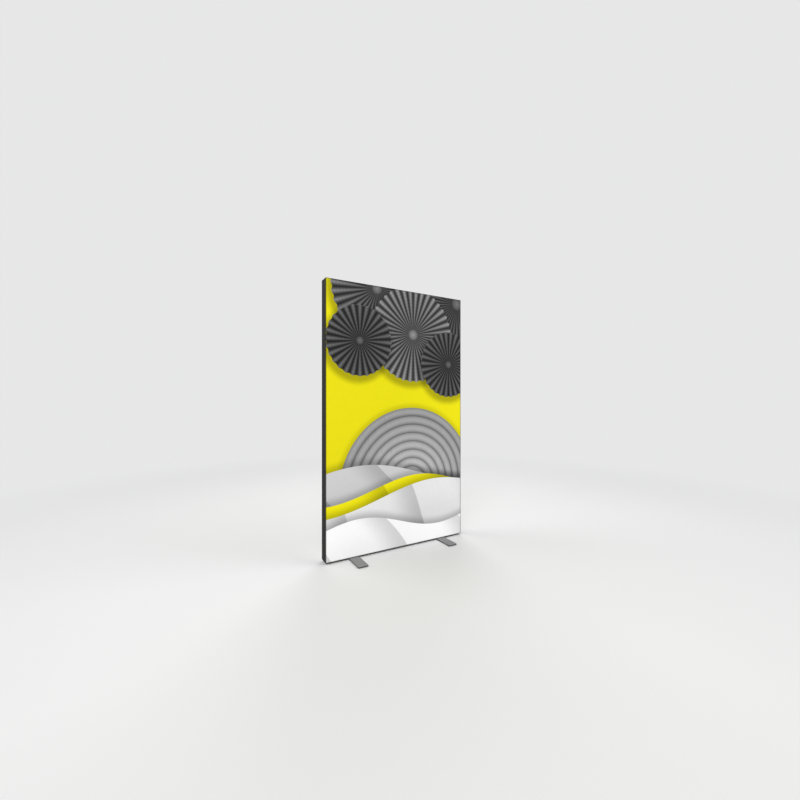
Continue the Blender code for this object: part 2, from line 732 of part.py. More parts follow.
def build_inlet(plastic, contact_metal):
    """Inlet housing with its contacts, behind the window of the right upright."""
    place_at = (HALF_WIDTH, 0, FRAME_BASE + INLET_HEIGHT)
    plate = box(
        (INLET_PLATE_THICKNESS, INSERT_WIDTH, INLET_PLATE_HEIGHT),
        (-INLET_FACE - INLET_PLATE_THICKNESS / 2, 0, 0),
    )
    body_depth = INLET_BODY_DEPTH - INLET_PLATE_THICKNESS / 2
    body = box((body_depth, INLET_BODY_WIDTH, INLET_BODY_HEIGHT), (-INLET_BACK + body_depth / 2, 0, 0))
    mouth = prism(socket_outline(0), -INLET_FACE - SOCKET_DEPTH, -INLET_FACE + CUT_OVERRUN, "X")
    well = box(
        (ROCKER_WELL_DEPTH + CUT_OVERRUN, ROCKER_WIDTH + 4 * RUNNING_GAP, ROCKER_HEIGHT + 2 * FIT_GAP),
        (-INLET_FACE - (ROCKER_WELL_DEPTH - CUT_OVERRUN) / 2, 0, ROCKER_RISE),
    )
    chute = box(
        (DRAWER_DEPTH + RUNNING_GAP + CUT_OVERRUN, DRAWER_WIDTH + 2 * FIT_GAP, DRAWER_HEIGHT + 2 * FIT_GAP),
        (-INLET_FACE - (DRAWER_DEPTH + RUNNING_GAP - CUT_OVERRUN) / 2, 0, -DRAWER_DROP),
    )
    housing = joined(plate, body)
    housing = cut(housing, moved(mouth, (0, 0, -SOCKET_DROP)), well, chute)
    for side in (-1, 1):
        hole = rod(SCREW_DIAMETER + 2 * FIT_GAP, -INLET_FACE - INLET_PLATE_THICKNESS - CUT_OVERRUN, 0, "X")
        housing = cut(housing, moved(hole, (0, 0, side * screw_from_inlet())))
    place("inlet_housing", housing, plastic, place_at)

    base_depth = -INLET_FACE - SOCKET_DEPTH + FIT_GAP
    contacts = prism(socket_outline(-FIT_GAP), base_depth, base_depth + CONTACT_BASE_THICKNESS, "X")
    blade_low = base_depth + CONTACT_BASE_THICKNESS / 2
    blade_length = CONTACT_HEIGHT + CONTACT_BASE_THICKNESS / 2
    for across, up in ((-CONTACT_SPACING / 2, 0), (0, EARTH_OFFSET), (CONTACT_SPACING / 2, 0)):
        blade_size = (blade_length, CONTACT_THICKNESS, CONTACT_WIDTH)
        blade = box(blade_size, (blade_low + blade_length / 2, across, up))
        contacts = joined(contacts, blade)
    place("inlet_contacts", moved(contacts, (0, 0, -SOCKET_DROP)), contact_metal, place_at)


def build_inlet_screws(finish):
    """Two countersunk screws through the upright's face into the inlet plate."""
    slot = box((SCREW_HEAD_DIAMETER, SCREW_SLOT_WIDTH, 2 * SCREW_SLOT_DEPTH))
    screw = cut(turned(screw_head_profile(0)), slot)
    round_shaded(screw)
    for name, side in (("upper", 1), ("lower", -1)):
        height = FRAME_BASE + INLET_HEIGHT + side * screw_from_inlet()
        place(f"inlet_screw_{name}", screw, finish, (HALF_WIDTH, 0, height), math.pi / 2)


def build_rocker(plastic):
    """Rocker switch on its pivot line, with its left half pressed in."""
    half = ROCKER_WIDTH / 2
    face = ROCKER_PIVOT_DEPTH
    skirt = face - ROCKER_SKIRT_DEPTH
    outline = [
        (face, -half),
        (face, 0),
        (face + half * math.tan(ROCKER_SWING), half),
        (skirt, ROCKER_SKIRT_WIDTH / 2),
        (skirt, -ROCKER_SKIRT_WIDTH / 2),
    ]
    mesh = prism(outline, -ROCKER_HEIGHT / 2, ROCKER_HEIGHT / 2, "Z")
    pivot = (HALF_WIDTH - INLET_FACE - ROCKER_PIVOT_DEPTH, 0, FRAME_BASE + INLET_HEIGHT + ROCKER_RISE)
    place("rocker_switch", mesh, plastic, pivot)


def build_drawer(plastic, glass):
    """Fuse drawer that slides straight out, with a glass fuse lying across it."""
    front = -INLET_FACE
    body = box((DRAWER_DEPTH, DRAWER_WIDTH, DRAWER_HEIGHT), (front - DRAWER_DEPTH / 2, 0, 0))
    pull_depth = 2 * DRAWER_PULL_DEPTH
    pull = box((pull_depth, DRAWER_PULL_WIDTH, DRAWER_PULL_HEIGHT), (front, 0, 0))
    fuse_x = front - FUSE_SETBACK
    fuse_z = FUSE_POCKET_WALL + FIT_GAP + (FUSE_DIAMETER - DRAWER_HEIGHT) / 2
    pocket_top = DRAWER_HEIGHT / 2 + CUT_OVERRUN
    pocket_low = fuse_z - FUSE_DIAMETER / 2 - FIT_GAP
    pocket = box(
        (FUSE_DIAMETER + 2 * FIT_GAP, FUSE_LENGTH + 2 * FIT_GAP, pocket_top - pocket_low),
        (fuse_x, 0, (pocket_top + pocket_low) / 2),
    )
    drawer_at = (HALF_WIDTH, 0, FRAME_BASE + INLET_HEIGHT - DRAWER_DROP)
    drawer = place("fuse_drawer", cut(joined(body, pull), pocket), plastic, drawer_at)
    fuse = round_shaded(rod(FUSE_DIAMETER, -FUSE_LENGTH / 2, FUSE_LENGTH / 2, "Y"))
    place("fuse", fuse, glass, (fuse_x, 0, fuse_z), parent=drawer)


# Leads inside the frame


def route_slope(before, here, beyond):
    """Direction at a knot, level along each axis on which the route doesn't keep going one way."""
    slope = Vector((0, 0, 0))
    back = (here - before).length
    ahead = (beyond - here).length
    for axis in range(3):
        behind = (here[axis] - before[axis]) / back
        onward = (beyond[axis] - here[axis]) / ahead
        if behind * onward > 0:
            slope[axis] = 2 * behind * onward / (behind + onward)
    return slope


def smooth_route(points, diameter):
    """Points on one smooth curve through the route's points: close in bends, wide on runs."""
    knots = [Vector(point) for point in points]
    start = 2 * knots[0] - knots[1]
    end = 2 * knots[-1] - knots[-2]
    knots = [start] + knots + [end]
    route = []
    for index in range(1, len(knots) - 2):
        before, here, there, beyond = knots[index - 1:index + 3]
        gap = (there - here).length
        bend_step = LEAD_STEP_DIAMETERS * diameter
        count = max(round(min(gap, LEAD_RUN_STEP) / bend_step), round(gap / LEAD_RUN_STEP), 1)
        pull_here = route_slope(before, here, there) * gap
        pull_there = route_slope(here, there, beyond) * gap
        for step in range(count):
            t = step / count
            route.append(
                here * (2 * t ** 3 - 3 * t ** 2 + 1)
                + pull_here * (t ** 3 - 2 * t ** 2 + t)
                + there * (3 * t ** 2 - 2 * t ** 3)
                + pull_there * (t ** 3 - t ** 2)
            )
    route.append(knots[-2])
    return route


def place_lead(name, points, diameter, finish):
    """Round lead along a route, with closed ends."""
    route = smooth_route(points, diameter)
    curve = bpy.data.curves.new(name, "CURVE")
    curve.dimensions = "3D"
    curve.bevel_depth = diameter / 2
    curve.bevel_resolution = 2
    curve.use_fill_caps = True
    spline = curve.splines.new("POLY")
    spline.points.add(len(route) - 1)
    for point, place_on_route in zip(spline.points, route):
        point.co = (*place_on_route, 1)
    curve.materials.append(finish)
    item = bpy.data.objects.new(name, curve)
    bpy.context.scene.collection.objects.link(item)


def corner_bend(across, up, seat):
    """Points of a lead round an inner frame corner, from the level rail to the upright."""
    corner_x = across * INNER_FACE
    corner_z = FRAME_TOP - CHAMBER_HEIGHT if up > 0 else FRAME_BASE + CHAMBER_HEIGHT
    middle = seat + LEAD_BEND * LEAD_BEND_MIDDLE_SHARE
    offsets = (
        (2 * LEAD_BEND, seat),
        (seat + LEAD_BEND, seat),
        (middle, middle),
        (seat, seat + LEAD_BEND),
        (seat, 2 * LEAD_BEND),
    )
    return [(corner_x - across * x, LEAD_SIDE_OFFSET, corner_z - up * z) for x, z in offsets]


def build_leads(mains_finish, light_finish):
    """Mains lead from inlet to supply, and the chain of leads from lens board to lens board."""
    supply_end = SUPPLY_LENGTH / 2 + SUPPLY_CAP_LENGTH / 2 + GLAND_LENGTH + FIT_GAP
    floor = FRAME_BASE + CHAMBER_HEIGHT
    gland_z = floor + SUPPLY_BASE + SUPPLY_HEIGHT / 2
    mains_seat = MAINS_LEAD_DIAMETER / 2 + FIT_GAP
    mains_z = floor + mains_seat
    inlet_x = HALF_WIDTH - INLET_BACK - FIT_GAP
    inlet_z = FRAME_BASE + INLET_HEIGHT - SOCKET_DROP
    reach = MAINS_LEAD_DIAMETER
    drop = inlet_z - mains_z
    place_lead("mains_lead", [
        (inlet_x, 0, inlet_z),
        (inlet_x - reach, 0, inlet_z),
        (inlet_x - 4 * reach, 0, inlet_z - drop / 8),
        (inlet_x - 6 * reach, 0, inlet_z - drop / 3),
        (inlet_x - 8 * reach, 0, inlet_z - 2 * drop / 3),
        (inlet_x - 11 * reach, 0, inlet_z - 14 * drop / 15),
        (inlet_x - 15 * reach, 0, mains_z),
        ((inlet_x + supply_end) / 2, 0, mains_z),
        (supply_end + 10 * reach, 0, mains_z),
        (supply_end + 5 * reach, 0, (mains_z * 2 + gland_z) / 3),
        (supply_end + 2 * reach, 0, (mains_z + gland_z * 5) / 6),
        (supply_end + reach / 2, 0, gland_z),
        (supply_end, 0, gland_z),
    ], MAINS_LEAD_DIAMETER, mains_finish)

    seat = LIGHT_LEAD_DIAMETER / 2 + FIT_GAP
    side = LEAD_SIDE_OFFSET
    plug_seat = BOARD_BASE + LIGHT_BOARD_THICKNESS + PLUG_BLOCK_HEIGHT / 2
    lead = LIGHT_LEAD_DIAMETER
    board_low = LIGHT_MIDDLE - BOARD_LENGTH / 2 - FIT_GAP
    board_high = LIGHT_MIDDLE + BOARD_LENGTH / 2 + FIT_GAP
    ramp = 2 * side
    along = floor + seat

    def plug_entry(across, height, away):
        """Points from beside the slot into a board's plug block; away points off the board."""
        seat_x = across * (INNER_FACE - seat)
        plug_x = across * (INNER_FACE - plug_seat)
        middle_x = (seat_x + plug_x) / 2
        return [
            (seat_x, side, height + away * ramp),
            (middle_x, side / 2, height + away * ramp * PLUG_RAMP_SHARE),
            (plug_x, 0, height + away * lead),
            (plug_x, 0, height),
        ]

    place_lead("light_lead", [
        (-supply_end, 0, gland_z),
        (-supply_end - lead, 0, gland_z),
        (-supply_end - LEAD_BEND, side / 2, (gland_z + along) / 2),
        (-supply_end - 2 * LEAD_BEND, side, along),
        (-supply_end - 4 * LEAD_BEND, side, along),
        *corner_bend(-1, -1, seat),
        *plug_entry(-1, FRAME_BASE + board_low, -1),
    ], lead, light_finish)
    for name, across in (("left", -1), ("right", 1)):
        place_lead(f"light_link_{name}", [
            *reversed(plug_entry(across, FRAME_BASE + board_high, 1)),
            (across * (INNER_FACE - seat), side, FRAME_MIDDLE),
            *plug_entry(across, FRAME_TOP - board_high, -1),
        ], lead, light_finish)
    ceiling = FRAME_TOP - CHAMBER_HEIGHT
    place_lead("light_link_top", [
        *reversed(plug_entry(-1, FRAME_TOP - board_low, 1)),
        *reversed(corner_bend(-1, 1, seat)),
        (0, side, ceiling - seat),
        *corner_bend(1, 1, seat),
        *plug_entry(1, FRAME_TOP - board_low, 1),
    ], lead, light_finish)


# Feet


def bolt_profile(growth):
    """Countersunk pivot bolt from its head's underside at zero height, grown by a clearance."""
    head = BOLT_HEAD_DIAMETER / 2 + growth
    shank = BOLT_DIAMETER / 2 + growth
    cone = head - shank
    tip = FRAME_BASE - FOOT_UNDERSIDE + CHAMBER_HEIGHT - CHAMBER_WALL - BOLT_TIP_CLEARANCE
    return [(head, 0), (head, FOOT_EDGE_BREAK), (shank, cone + FOOT_EDGE_BREAK), (shank, tip)]


def build_foot(name, across, plate_finish, rubber, metal):
    """Foot plate and pads on their swivel line, and the bolt, washer and block that hold them."""
    swivel = axis_empty(f"foot_{name}_axis", (across * FOOT_X, 0, 0))
    plate = prism(rounded_rectangle(FOOT_WIDTH, FOOT_LENGTH, FOOT_CORNER), FOOT_UNDERSIDE, FOOT_TOP, "Z")
    well = bolt_profile(RUNNING_GAP)
    well[0] = (well[0][0], -CUT_OVERRUN)
    plate = cut(plate, moved(turned(well), (0, 0, FOOT_UNDERSIDE)))
    item = place(f"foot_plate_{name}", plate, plate_finish, (0, 0, 0), parent=swivel)
    edge = item.modifiers.new("Edge break", "BEVEL")
    edge.width = FOOT_EDGE_BREAK
    edge.segments = 1
    edge.limit_method = "ANGLE"
    edge.angle_limit = math.radians(60)
    pad = prism(rounded_rectangle(PAD_WIDTH, PAD_LENGTH, PAD_CORNER), 0, PAD_HEIGHT, "Z")
    reach = FOOT_LENGTH / 2 - PAD_TO_FOOT_END - PAD_LENGTH / 2
    for end_name, end in (("front", -1), ("back", 1)):
        place(f"foot_pad_{name}_{end_name}", pad, rubber, (0, end * reach, 0), parent=swivel)

    bolt = turned(bolt_profile(0))
    key = rod(BOLT_KEY_DIAMETER, -CUT_OVERRUN, BOLT_KEY_DEPTH, sides=6)
    bolt = round_shaded(cut(bolt, key))
    place(f"foot_bolt_{name}", bolt, metal, (across * FOOT_X, 0, FOOT_UNDERSIDE))
    hole = BOLT_DIAMETER / 2 + RUNNING_GAP
    rim = WASHER_DIAMETER / 2
    washer = turned([(hole, 0), (rim, 0), (rim, WASHER_THICKNESS), (hole, WASHER_THICKNESS)], ring=True)
    place(f"foot_washer_{name}", round_shaded(washer), metal, (across * FOOT_X, 0, WASHER_UNDERSIDE))
    block_height = INSERT_HIGH - INSERT_LOW
    block = box((CLAMP_LENGTH, INSERT_WIDTH, block_height), (0, 0, INSERT_LOW + block_height / 2))
    block = cut(block, rod(2 * hole, 0, CHAMBER_HEIGHT))
    place(f"foot_clamp_block_{name}", block, metal, (across * FOOT_X, 0, FRAME_BASE))


def clear_scene():
    """Remove whatever the scene holds."""
    for item in list(bpy.data.objects):
        bpy.data.objects.remove(item)


def main():
    """Build the whole wall."""
    clear_scene()
    anodised = material("dark grey anodised aluminium", (0.045, 0.045, 0.047), 0.45, 1)
    bare = material("plain aluminium", (0.55, 0.56, 0.57), 0.4, 1)
    cast = material("die-cast zinc", (0.32, 0.33, 0.34), 0.5, 1)
    coated = material("grey coated steel", (0.19, 0.19, 0.195), 0.45, 0)
    bright = material("zinc-plated steel", (0.6, 0.6, 0.58), 0.3, 1)
    black = material("black plastic", (0.012, 0.012, 0.013), 0.5, 0)
    rubber = material("black rubber", (0.01, 0.01, 0.01), 0.85, 0)
    silicone = material("clear silicone", (0.7, 0.7, 0.68), 0.5, 0)
    fabric = material("printed fabric", (0.82, 0.74, 0.02), 0.8, 0)
    board = material("white circuit board", (0.8, 0.8, 0.78), 0.4, 0)
    glass = material("fuse glass", (0.75, 0.78, 0.78), 0.1, 0)
    cable = material("black lead", (0.015, 0.015, 0.015), 0.6, 0)

    build_frame(anodised)
    build_joinery(cast, black)
    build_cross_bar(cast, bare)
    build_lights(bare, board)
    build_supply(bare, anodised)
    build_graphics(fabric, silicone)
    build_inlet(black, bright)
    build_inlet_screws(bright)
    build_rocker(black)
    build_drawer(black, glass)
    build_leads(cable, cable)
    for name, across in (("left", -1), ("right", 1)):
        build_foot(name, across, coated, rubber, bright)
    bpy.context.view_layer.update()


main()
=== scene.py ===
"""Looks of the double-sided fabric lightbox wall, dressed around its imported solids.

X runs across the wall, Y runs through it with the front facing -Y, and Z is up. Lengths are in metres.
"""

import functools
import logging
import math
from collections.abc import Callable, Iterable, Sequence
from dataclasses import dataclass
from enum import Enum

import bmesh
import bpy
import numpy as np
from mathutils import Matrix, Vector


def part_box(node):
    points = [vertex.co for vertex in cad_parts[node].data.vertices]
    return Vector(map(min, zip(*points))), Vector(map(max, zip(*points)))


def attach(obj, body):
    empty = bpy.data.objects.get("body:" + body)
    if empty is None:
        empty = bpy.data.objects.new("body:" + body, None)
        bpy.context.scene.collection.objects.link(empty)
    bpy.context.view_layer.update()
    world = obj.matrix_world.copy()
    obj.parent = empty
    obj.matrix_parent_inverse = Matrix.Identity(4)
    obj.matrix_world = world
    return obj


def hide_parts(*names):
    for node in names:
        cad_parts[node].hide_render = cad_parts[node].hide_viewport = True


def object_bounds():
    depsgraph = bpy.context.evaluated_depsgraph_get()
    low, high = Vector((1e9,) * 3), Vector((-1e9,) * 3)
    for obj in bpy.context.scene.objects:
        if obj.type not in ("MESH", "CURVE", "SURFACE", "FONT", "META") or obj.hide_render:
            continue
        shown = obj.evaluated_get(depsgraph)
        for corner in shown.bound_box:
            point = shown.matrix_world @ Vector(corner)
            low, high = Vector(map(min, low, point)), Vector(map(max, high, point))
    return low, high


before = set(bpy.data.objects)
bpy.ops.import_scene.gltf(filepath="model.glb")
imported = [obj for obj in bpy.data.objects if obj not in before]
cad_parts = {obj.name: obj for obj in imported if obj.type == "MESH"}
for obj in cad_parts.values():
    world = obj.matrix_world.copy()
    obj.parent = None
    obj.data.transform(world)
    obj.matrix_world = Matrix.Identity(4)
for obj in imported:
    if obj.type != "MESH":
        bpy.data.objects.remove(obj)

Colour = tuple[float, float, float]
Pair = tuple[float, float]
Place = tuple[float, float, float]

LOG = logging.getLogger("lightbox wall")
CAD_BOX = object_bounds()
MERGE = 0.00001
SKIN_MERGE = MERGE / 10
TINY = MERGE / 100
FLAT_ANGLE = math.radians(1)
SMOOTH_ANGLE = math.radians(35)
SOFT_SEGMENTS = 2
TURN = 2 * math.pi
CORNER_SIDE_SHARE = 0.49
CROSS_ARM_SHARE = 2 / 7
PAN_SHARES = (0.62, 0.85, 1, 1)
PAN_DRIVE_SHARE = 1.1


class Named(Enum):
    """Option that is written as its name in small letters."""

    def __str__(self) -> str:
        """Its name in small letters."""
        return self.name.lower()


class Axis(Named):
    """Direction in which a length of profile or bar runs."""

    ACROSS = 0
    THROUGH = 1
    UP = 2


class Side(Named):
    """Side of the wall, with its sign along X."""

    LEFT = -1
    RIGHT = 1


class Face(Named):
    """Face of the wall, with its sign along Y."""

    FRONT = -1
    BACK = 1


class Half(Named):
    """Half of an upright, with its sign along Z."""

    LOWER = -1
    UPPER = 1


def tone(red: float, green: float, blue: float) -> Colour:
    """Linear colour of a display colour from 0 to 255, by the standard curve of displays."""
    share = np.array([red, green, blue]) / 255
    return tuple(np.where(share > 0.04045, ((share + 0.055) / 1.055) ** 2.4, share / 12.92).tolist())


# Shader expressions

Socket = bpy.types.NodeSocket


def operation(name: str, reflected: bool = False) -> Callable[..., "Value"]:
    """Method of a value that adds a Math node.

    Args:
        name: operation of the node.
        reflected: whether the value is its last term, and not its first.

    Returns:
        The method.
    """

    def method(self: "Value", *others: "Value | float") -> "Value":
        """One Math node on the value and the other terms."""
        return self.graph.maths(name, *((*others, self) if reflected else (self, *others)))

    return method


class Value:
    """Number that varies over a surface; its operators add Math nodes."""

    def __init__(self, graph: "Graph", socket: Socket) -> None:
        """Wrap an output socket of a graph."""
        self.graph = graph
        self.socket = socket

    __add__ = __radd__ = operation("ADD")
    __sub__ = operation("SUBTRACT")
    __rsub__ = operation("SUBTRACT", reflected=True)
    __mul__ = __rmul__ = operation("MULTIPLY")
    __truediv__ = operation("DIVIDE")
    __pow__ = operation("POWER")
    __abs__ = operation("ABSOLUTE")
    sine = operation("SINE")
    fraction = operation("FRACT")
    least = operation("MINIMUM")
    most = operation("MAXIMUM")

    def rise(self, start: float, end: float) -> "Value":
        """Smooth step from 0 to 1.

        Args:
            start: where it is 0.
            end: where it is 1, which may lie below the start.

        Returns:
            The step.
        """
        below = float(end < start)
        sockets = {"Value": self, "From Min": min(start, end), "From Max": max(start, end)}
        sockets |= {"To Min": below, "To Max": 1 - below}
        settings = {"interpolation_type": "SMOOTHSTEP"}
        return Value(self.graph, self.graph.node("MapRange", settings, sockets).outputs[0])

    def span(self, low: float, high: float) -> "Value":
        """A value from 0 to 1 spread from low to high."""
        return self * (high - low) + low

    def swing(self, width: float) -> "Value":
        """A value from 0 to 1 spread over a width about zero."""
        return (self - 0.5) * width


Tint = Socket | Colour
FIRST_COLOUR, SECOND_COLOUR, MIXED_COLOUR = 6, 7, 2


class Graph:
    """Node tree of a finish or of the world, written as expressions."""

    def __init__(self, owner: bpy.types.Material | bpy.types.World) -> None:
        """Take the node tree of its owner."""
        owner.use_nodes = True
        self.tree = owner.node_tree

    def node(
        self,
        kind: str,
        settings: dict[str, object] | None = None,
        sockets: dict[int | str, object] | None = None,
    ) -> bpy.types.Node:
        """Add a node.

        Args:
            kind: type of node, without its ShaderNode prefix.
            settings: settings of the node, set first.
            sockets: value or link of each input, by number or name.

        Returns:
            The node.
        """
        item = self.tree.nodes.new("ShaderNode" + kind)
        for name, setting in (settings or {}).items():
            setattr(item, name, setting)
        for name, value in (sockets or {}).items():
            self.feed(item.inputs[name], value)
        return item

    def feed(self, socket: Socket, value: object) -> None:
        """Link or set an input.

        Args:
            socket: the input.
            value: what to link to it, or its plain number or colour.
        """
        if isinstance(value, Value):
            self.tree.links.new(value.socket, socket)
        elif isinstance(value, Socket):
            self.tree.links.new(value, socket)
        elif socket.type == "RGBA":
            socket.default_value = (*value, 1)
        else:
            socket.default_value = value

    def maths(self, operation: str, *terms: Value | float) -> Value:
        """One Math node on up to three terms."""
        item = self.node("Math", {"operation": operation}, dict(enumerate(terms)))
        return Value(self, item.outputs[0])

    def mix(self, factor: Value | float, first: Tint, second: Tint) -> Socket:
        """Mix of two colours.

        Args:
            factor: 0 for the first colour and 1 for the second.
            first: first colour.
            second: second colour.

        Returns:
            The mixed colour.
        """
        settings = {"data_type": "RGBA", "clamp_factor": True}
        sockets = {0: factor, FIRST_COLOUR: first, SECOND_COLOUR: second}
        return self.node("Mix", settings, sockets).outputs[MIXED_COLOUR]

    def grey(self, value: Value) -> Socket:
        """Grey colour of a value."""
        return self.mix(value, (0, 0, 0), (1, 1, 1))

    def dimmed(self, colour: Tint, share: Value | float) -> Socket:
        """Colour scaled by a share."""
        settings = {"operation": "SCALE"}
        return self.node("VectorMath", settings, {0: colour, "Scale": share}).outputs[0]

    def coordinates(self, kind: str = "Object") -> tuple[Value, Value, Value]:
        """The three parts of the object's coordinates, or of its UV map."""
        split = self.node("SeparateXYZ", sockets={0: self.node("TexCoord").outputs[kind]})
        return tuple(Value(self, socket) for socket in split.outputs)

    @functools.cache
    def noise(self, size: float, detail: float = 2, stretch: Place = (1, 1, 1)) -> Value:
        """Soft noise, made once for each size, detail and stretch.

        Args:
            size: about how wide its marks are.
            detail: how much finer noise is laid over it.
            stretch: share by which the marks are crowded along each axis.

        Returns:
            Noise from 0 to 1.
        """
        place = self.node("TexCoord").outputs["Object"]
        crowd = tuple(part / size for part in stretch)
        scaled = self.node("VectorMath", {"operation": "MULTIPLY"}, {0: place, 1: crowd})
        item = self.node("TexNoise", sockets={"Vector": scaled.outputs[0], "Scale": 1.0, "Detail": detail})
        return Value(self, item.outputs[0])

    def relief(self, height: Value, depth: float, strength: float = 1.0) -> None:
        """Feed the normal: a height of 1 stands for the depth, and the strength is how fully it shows."""
        bump = self.node("Bump", sockets={"Strength": strength, "Distance": depth, "Height": height})
        self.surface(normal=bump.outputs[0])

    def surface(self, **sockets: object) -> None:
        """Feed the Principled shader.

        Args:
            sockets: value or link of each socket, by its name with underscores for spaces.
        """
        shader = self.tree.nodes["Principled BSDF"]
        names = {"ior": "IOR", "specular_ior_level": "Specular IOR Level"}
        for name, value in sockets.items():
            self.feed(shader.inputs[names.get(name, name.replace("_", " ").title())], value)

    def blend(
        self, factor: Value | Socket, first: bpy.types.Node, second: bpy.types.Node
    ) -> bpy.types.Node:
        """Shader from the first at factor 0 to the second at factor 1."""
        return self.node("MixShader", sockets={0: factor, 1: first.outputs[0], 2: second.outputs[0]})

    def shown(self, path: bpy.types.Node) -> Value:
        """Whether a ray comes from the camera, gloss or glass.

        Args:
            path: node of the light path.

        Returns:
            1 for these rays and 0 for others.
        """
        rays = ("Is Camera Ray", "Is Glossy Ray", "Is Transmission Ray")
        camera, gloss, glass = (Value(self, path.outputs[ray]) for ray in rays)
        return camera.most(gloss).most(glass)


# Finishes


class Finish:
    """Finish of a surface; each kind paints one material."""

    title: str

    def paint(self, graph: Graph) -> None:
        """Write the finish into a graph."""
        raise NotImplementedError

    @functools.cache
    def material(self) -> bpy.types.Material:
        """Material of this finish, made once."""
        material = bpy.data.materials.new(self.title)
        self.paint(Graph(material))
        return material


@dataclass(frozen=True)
class Flecked(Finish):
    """Finish from a dark tone to a light one, its tone, roughness and relief each by a soft noise.

    Each noise is given by the size of its marks and its detail.
    """

    title: str
    dark: Colour
    light: Colour
    tonal: Pair
    rough: Pair
    grain: Pair
    roughness: Pair
    relief: Pair
    metallic: float = 0.0

    def lightness(self, graph: Graph) -> Value:
        """How far the light tone shows."""
        return graph.noise(*self.tonal)

    def paint(self, graph: Graph) -> None:
        """Tone, roughness and relief.

        Args:
            graph: graph of the material.
        """
        graph.surface(
            base_color=graph.mix(self.lightness(graph), self.dark, self.light),
            metallic=self.metallic,
            roughness=graph.noise(*self.rough).span(*self.roughness),
        )
        graph.relief(graph.noise(*self.grain), *self.relief)


@dataclass(frozen=True)
class Cast(Flecked):
    """Die-cast zinc with a fine grain and faint flow marks."""

    title: str = "die-cast zinc"
    dark: Colour = (0.28, 0.29, 0.3)
    light: Colour = (0.42, 0.43, 0.44)
    tonal: Pair = (0.02, 3)
    rough: Pair = (0.0009, 2)
    grain: Pair = (0.0009, 2)
    roughness: Pair = (0.42, 0.62)
    relief: Pair = (0.00006, 0.7)
    metallic: float = 1.0


@dataclass(frozen=True)
class Plated(Flecked):
    """Zinc-plated steel, faintly clouded."""

    title: str = "zinc-plated steel"
    dark: Colour = (0.52, 0.53, 0.53)
    light: Colour = (0.68, 0.67, 0.62)
    tonal: Pair = (0.006, 4)
    rough: Pair = (0.006, 4)
    grain: Pair = (0.0004, 2)
    roughness: Pair = (0.22, 0.4)
    relief: Pair = (0.00001, 0.4)
    metallic: float = 1.0


@dataclass(frozen=True)
class Rubber(Flecked):
    """Black rubber with dust in its pores."""

    title: str = "black rubber"
    dark: Colour = (0.011, 0.011, 0.011)
    light: Colour = (0.06, 0.058, 0.055)
    tonal: Pair = (0.01, 4)
    rough: Pair = (0.0007, 3)
    grain: Pair = (0.0007, 3)
    roughness: Pair = (0.75, 0.95)
    relief: Pair = (0.00008, 0.7)
    dust: Pair = (0.55, 0.8)
    dust_share: float = 0.3

    def lightness(self, graph: Graph) -> Value:
        """Dust where its noise is high."""
        return super().lightness(graph).rise(*self.dust) * self.dust_share


@dataclass(frozen=True)
class Silicone(Flecked):
    """Milky silicone of the edge strips, with a faint bloom."""

    title: str = "milky silicone"
    dark: Colour = (0.58, 0.59, 0.58)
    light: Colour = (0.72, 0.72, 0.70)
    tonal: Pair = (0.004, 3)
    rough: Pair = (0.004, 3)
    grain: Pair = (0.0008, 2)
    roughness: Pair = (0.35, 0.55)
    relief: Pair = (0.00003, 0.4)
    milk: float = 0.3
    milk_depth: float = 0.002

    def paint(self, graph: Graph) -> None:
        """Bloom over a waxy body."""
        super().paint(graph)
        graph.surface(subsurface_weight=self.milk, subsurface_scale=self.milk_depth)


@dataclass(frozen=True)
class Phosphor(Flecked):
    """Grainy yellowish gel over a light-emitting chip, which glows almost white."""

    title: str = "phosphor gel"
    dark: Colour = (0.8, 0.62, 0.12)
    light: Colour = (0.86, 0.72, 0.22)
    tonal: Pair = (0.0004, 3)
    rough: Pair = (0.0004, 3)
    grain: Pair = (0.0004, 3)
    roughness: Pair = (0.3, 0.5)
    relief: Pair = (0.00003, 0.5)
    glow_dark: Colour = (1, 0.95, 0.82)
    glow_light: Colour = (1, 0.98, 0.9)

    def paint(self, graph: Graph) -> None:
        """Gel and its glow.

        Args:
            graph: graph of the material.
        """
        super().paint(graph)
        glow = graph.mix(self.lightness(graph), self.glow_dark, self.glow_light)
        graph.surface(emission_color=glow, emission_strength=1.0)


@dataclass(frozen=True)
class Moulded(Finish):
    """Moulded plastic with a spark texture and a faint change of tone."""

    title: str = "black moulded plastic"
    colour: Colour = (0.014, 0.014, 0.015)
    spark_size: float = 0.0005
    roughness: float = 0.45
    spark_roughness: float = 0.2
    tonal_size: float = 0.012
    tonal: Pair = (0.85, 1.15)
    relief: Pair = (0.00005, 0.6)

    def paint(self, graph: Graph) -> None:
        """Spark in the roughness and the relief, over the tone.

        Args:
            graph: graph of the material.
        """
        spark = graph.noise(self.spark_size)
        tonal = graph.noise(self.tonal_size).span(*self.tonal)
        graph.surface(
            base_color=graph.dimmed(self.colour, tonal),
            metallic=0.0,
            roughness=spark.swing(self.spark_roughness) + self.roughness,
        )
        graph.relief(spark, *self.relief)


@dataclass(frozen=True)
class Clear(Finish):
    """Clear acrylic or glass with a faint haze."""

    title: str = "clear acrylic"
    tint: Colour = (0.97, 0.98, 0.98)
    refraction: float = 1.49
    haze: Pair = (0.003, 3)
    roughness: Pair = (0.02, 0.08)

    def paint(self, graph: Graph) -> None:
        """Clear body, and haze in its roughness.

        Args:
            graph: graph of the material.
        """
        roughness = graph.noise(*self.haze).span(*self.roughness)
        graph.surface(base_color=self.tint, metallic=0.0, roughness=roughness)
        graph.surface(transmission_weight=1.0, ior=self.refraction)


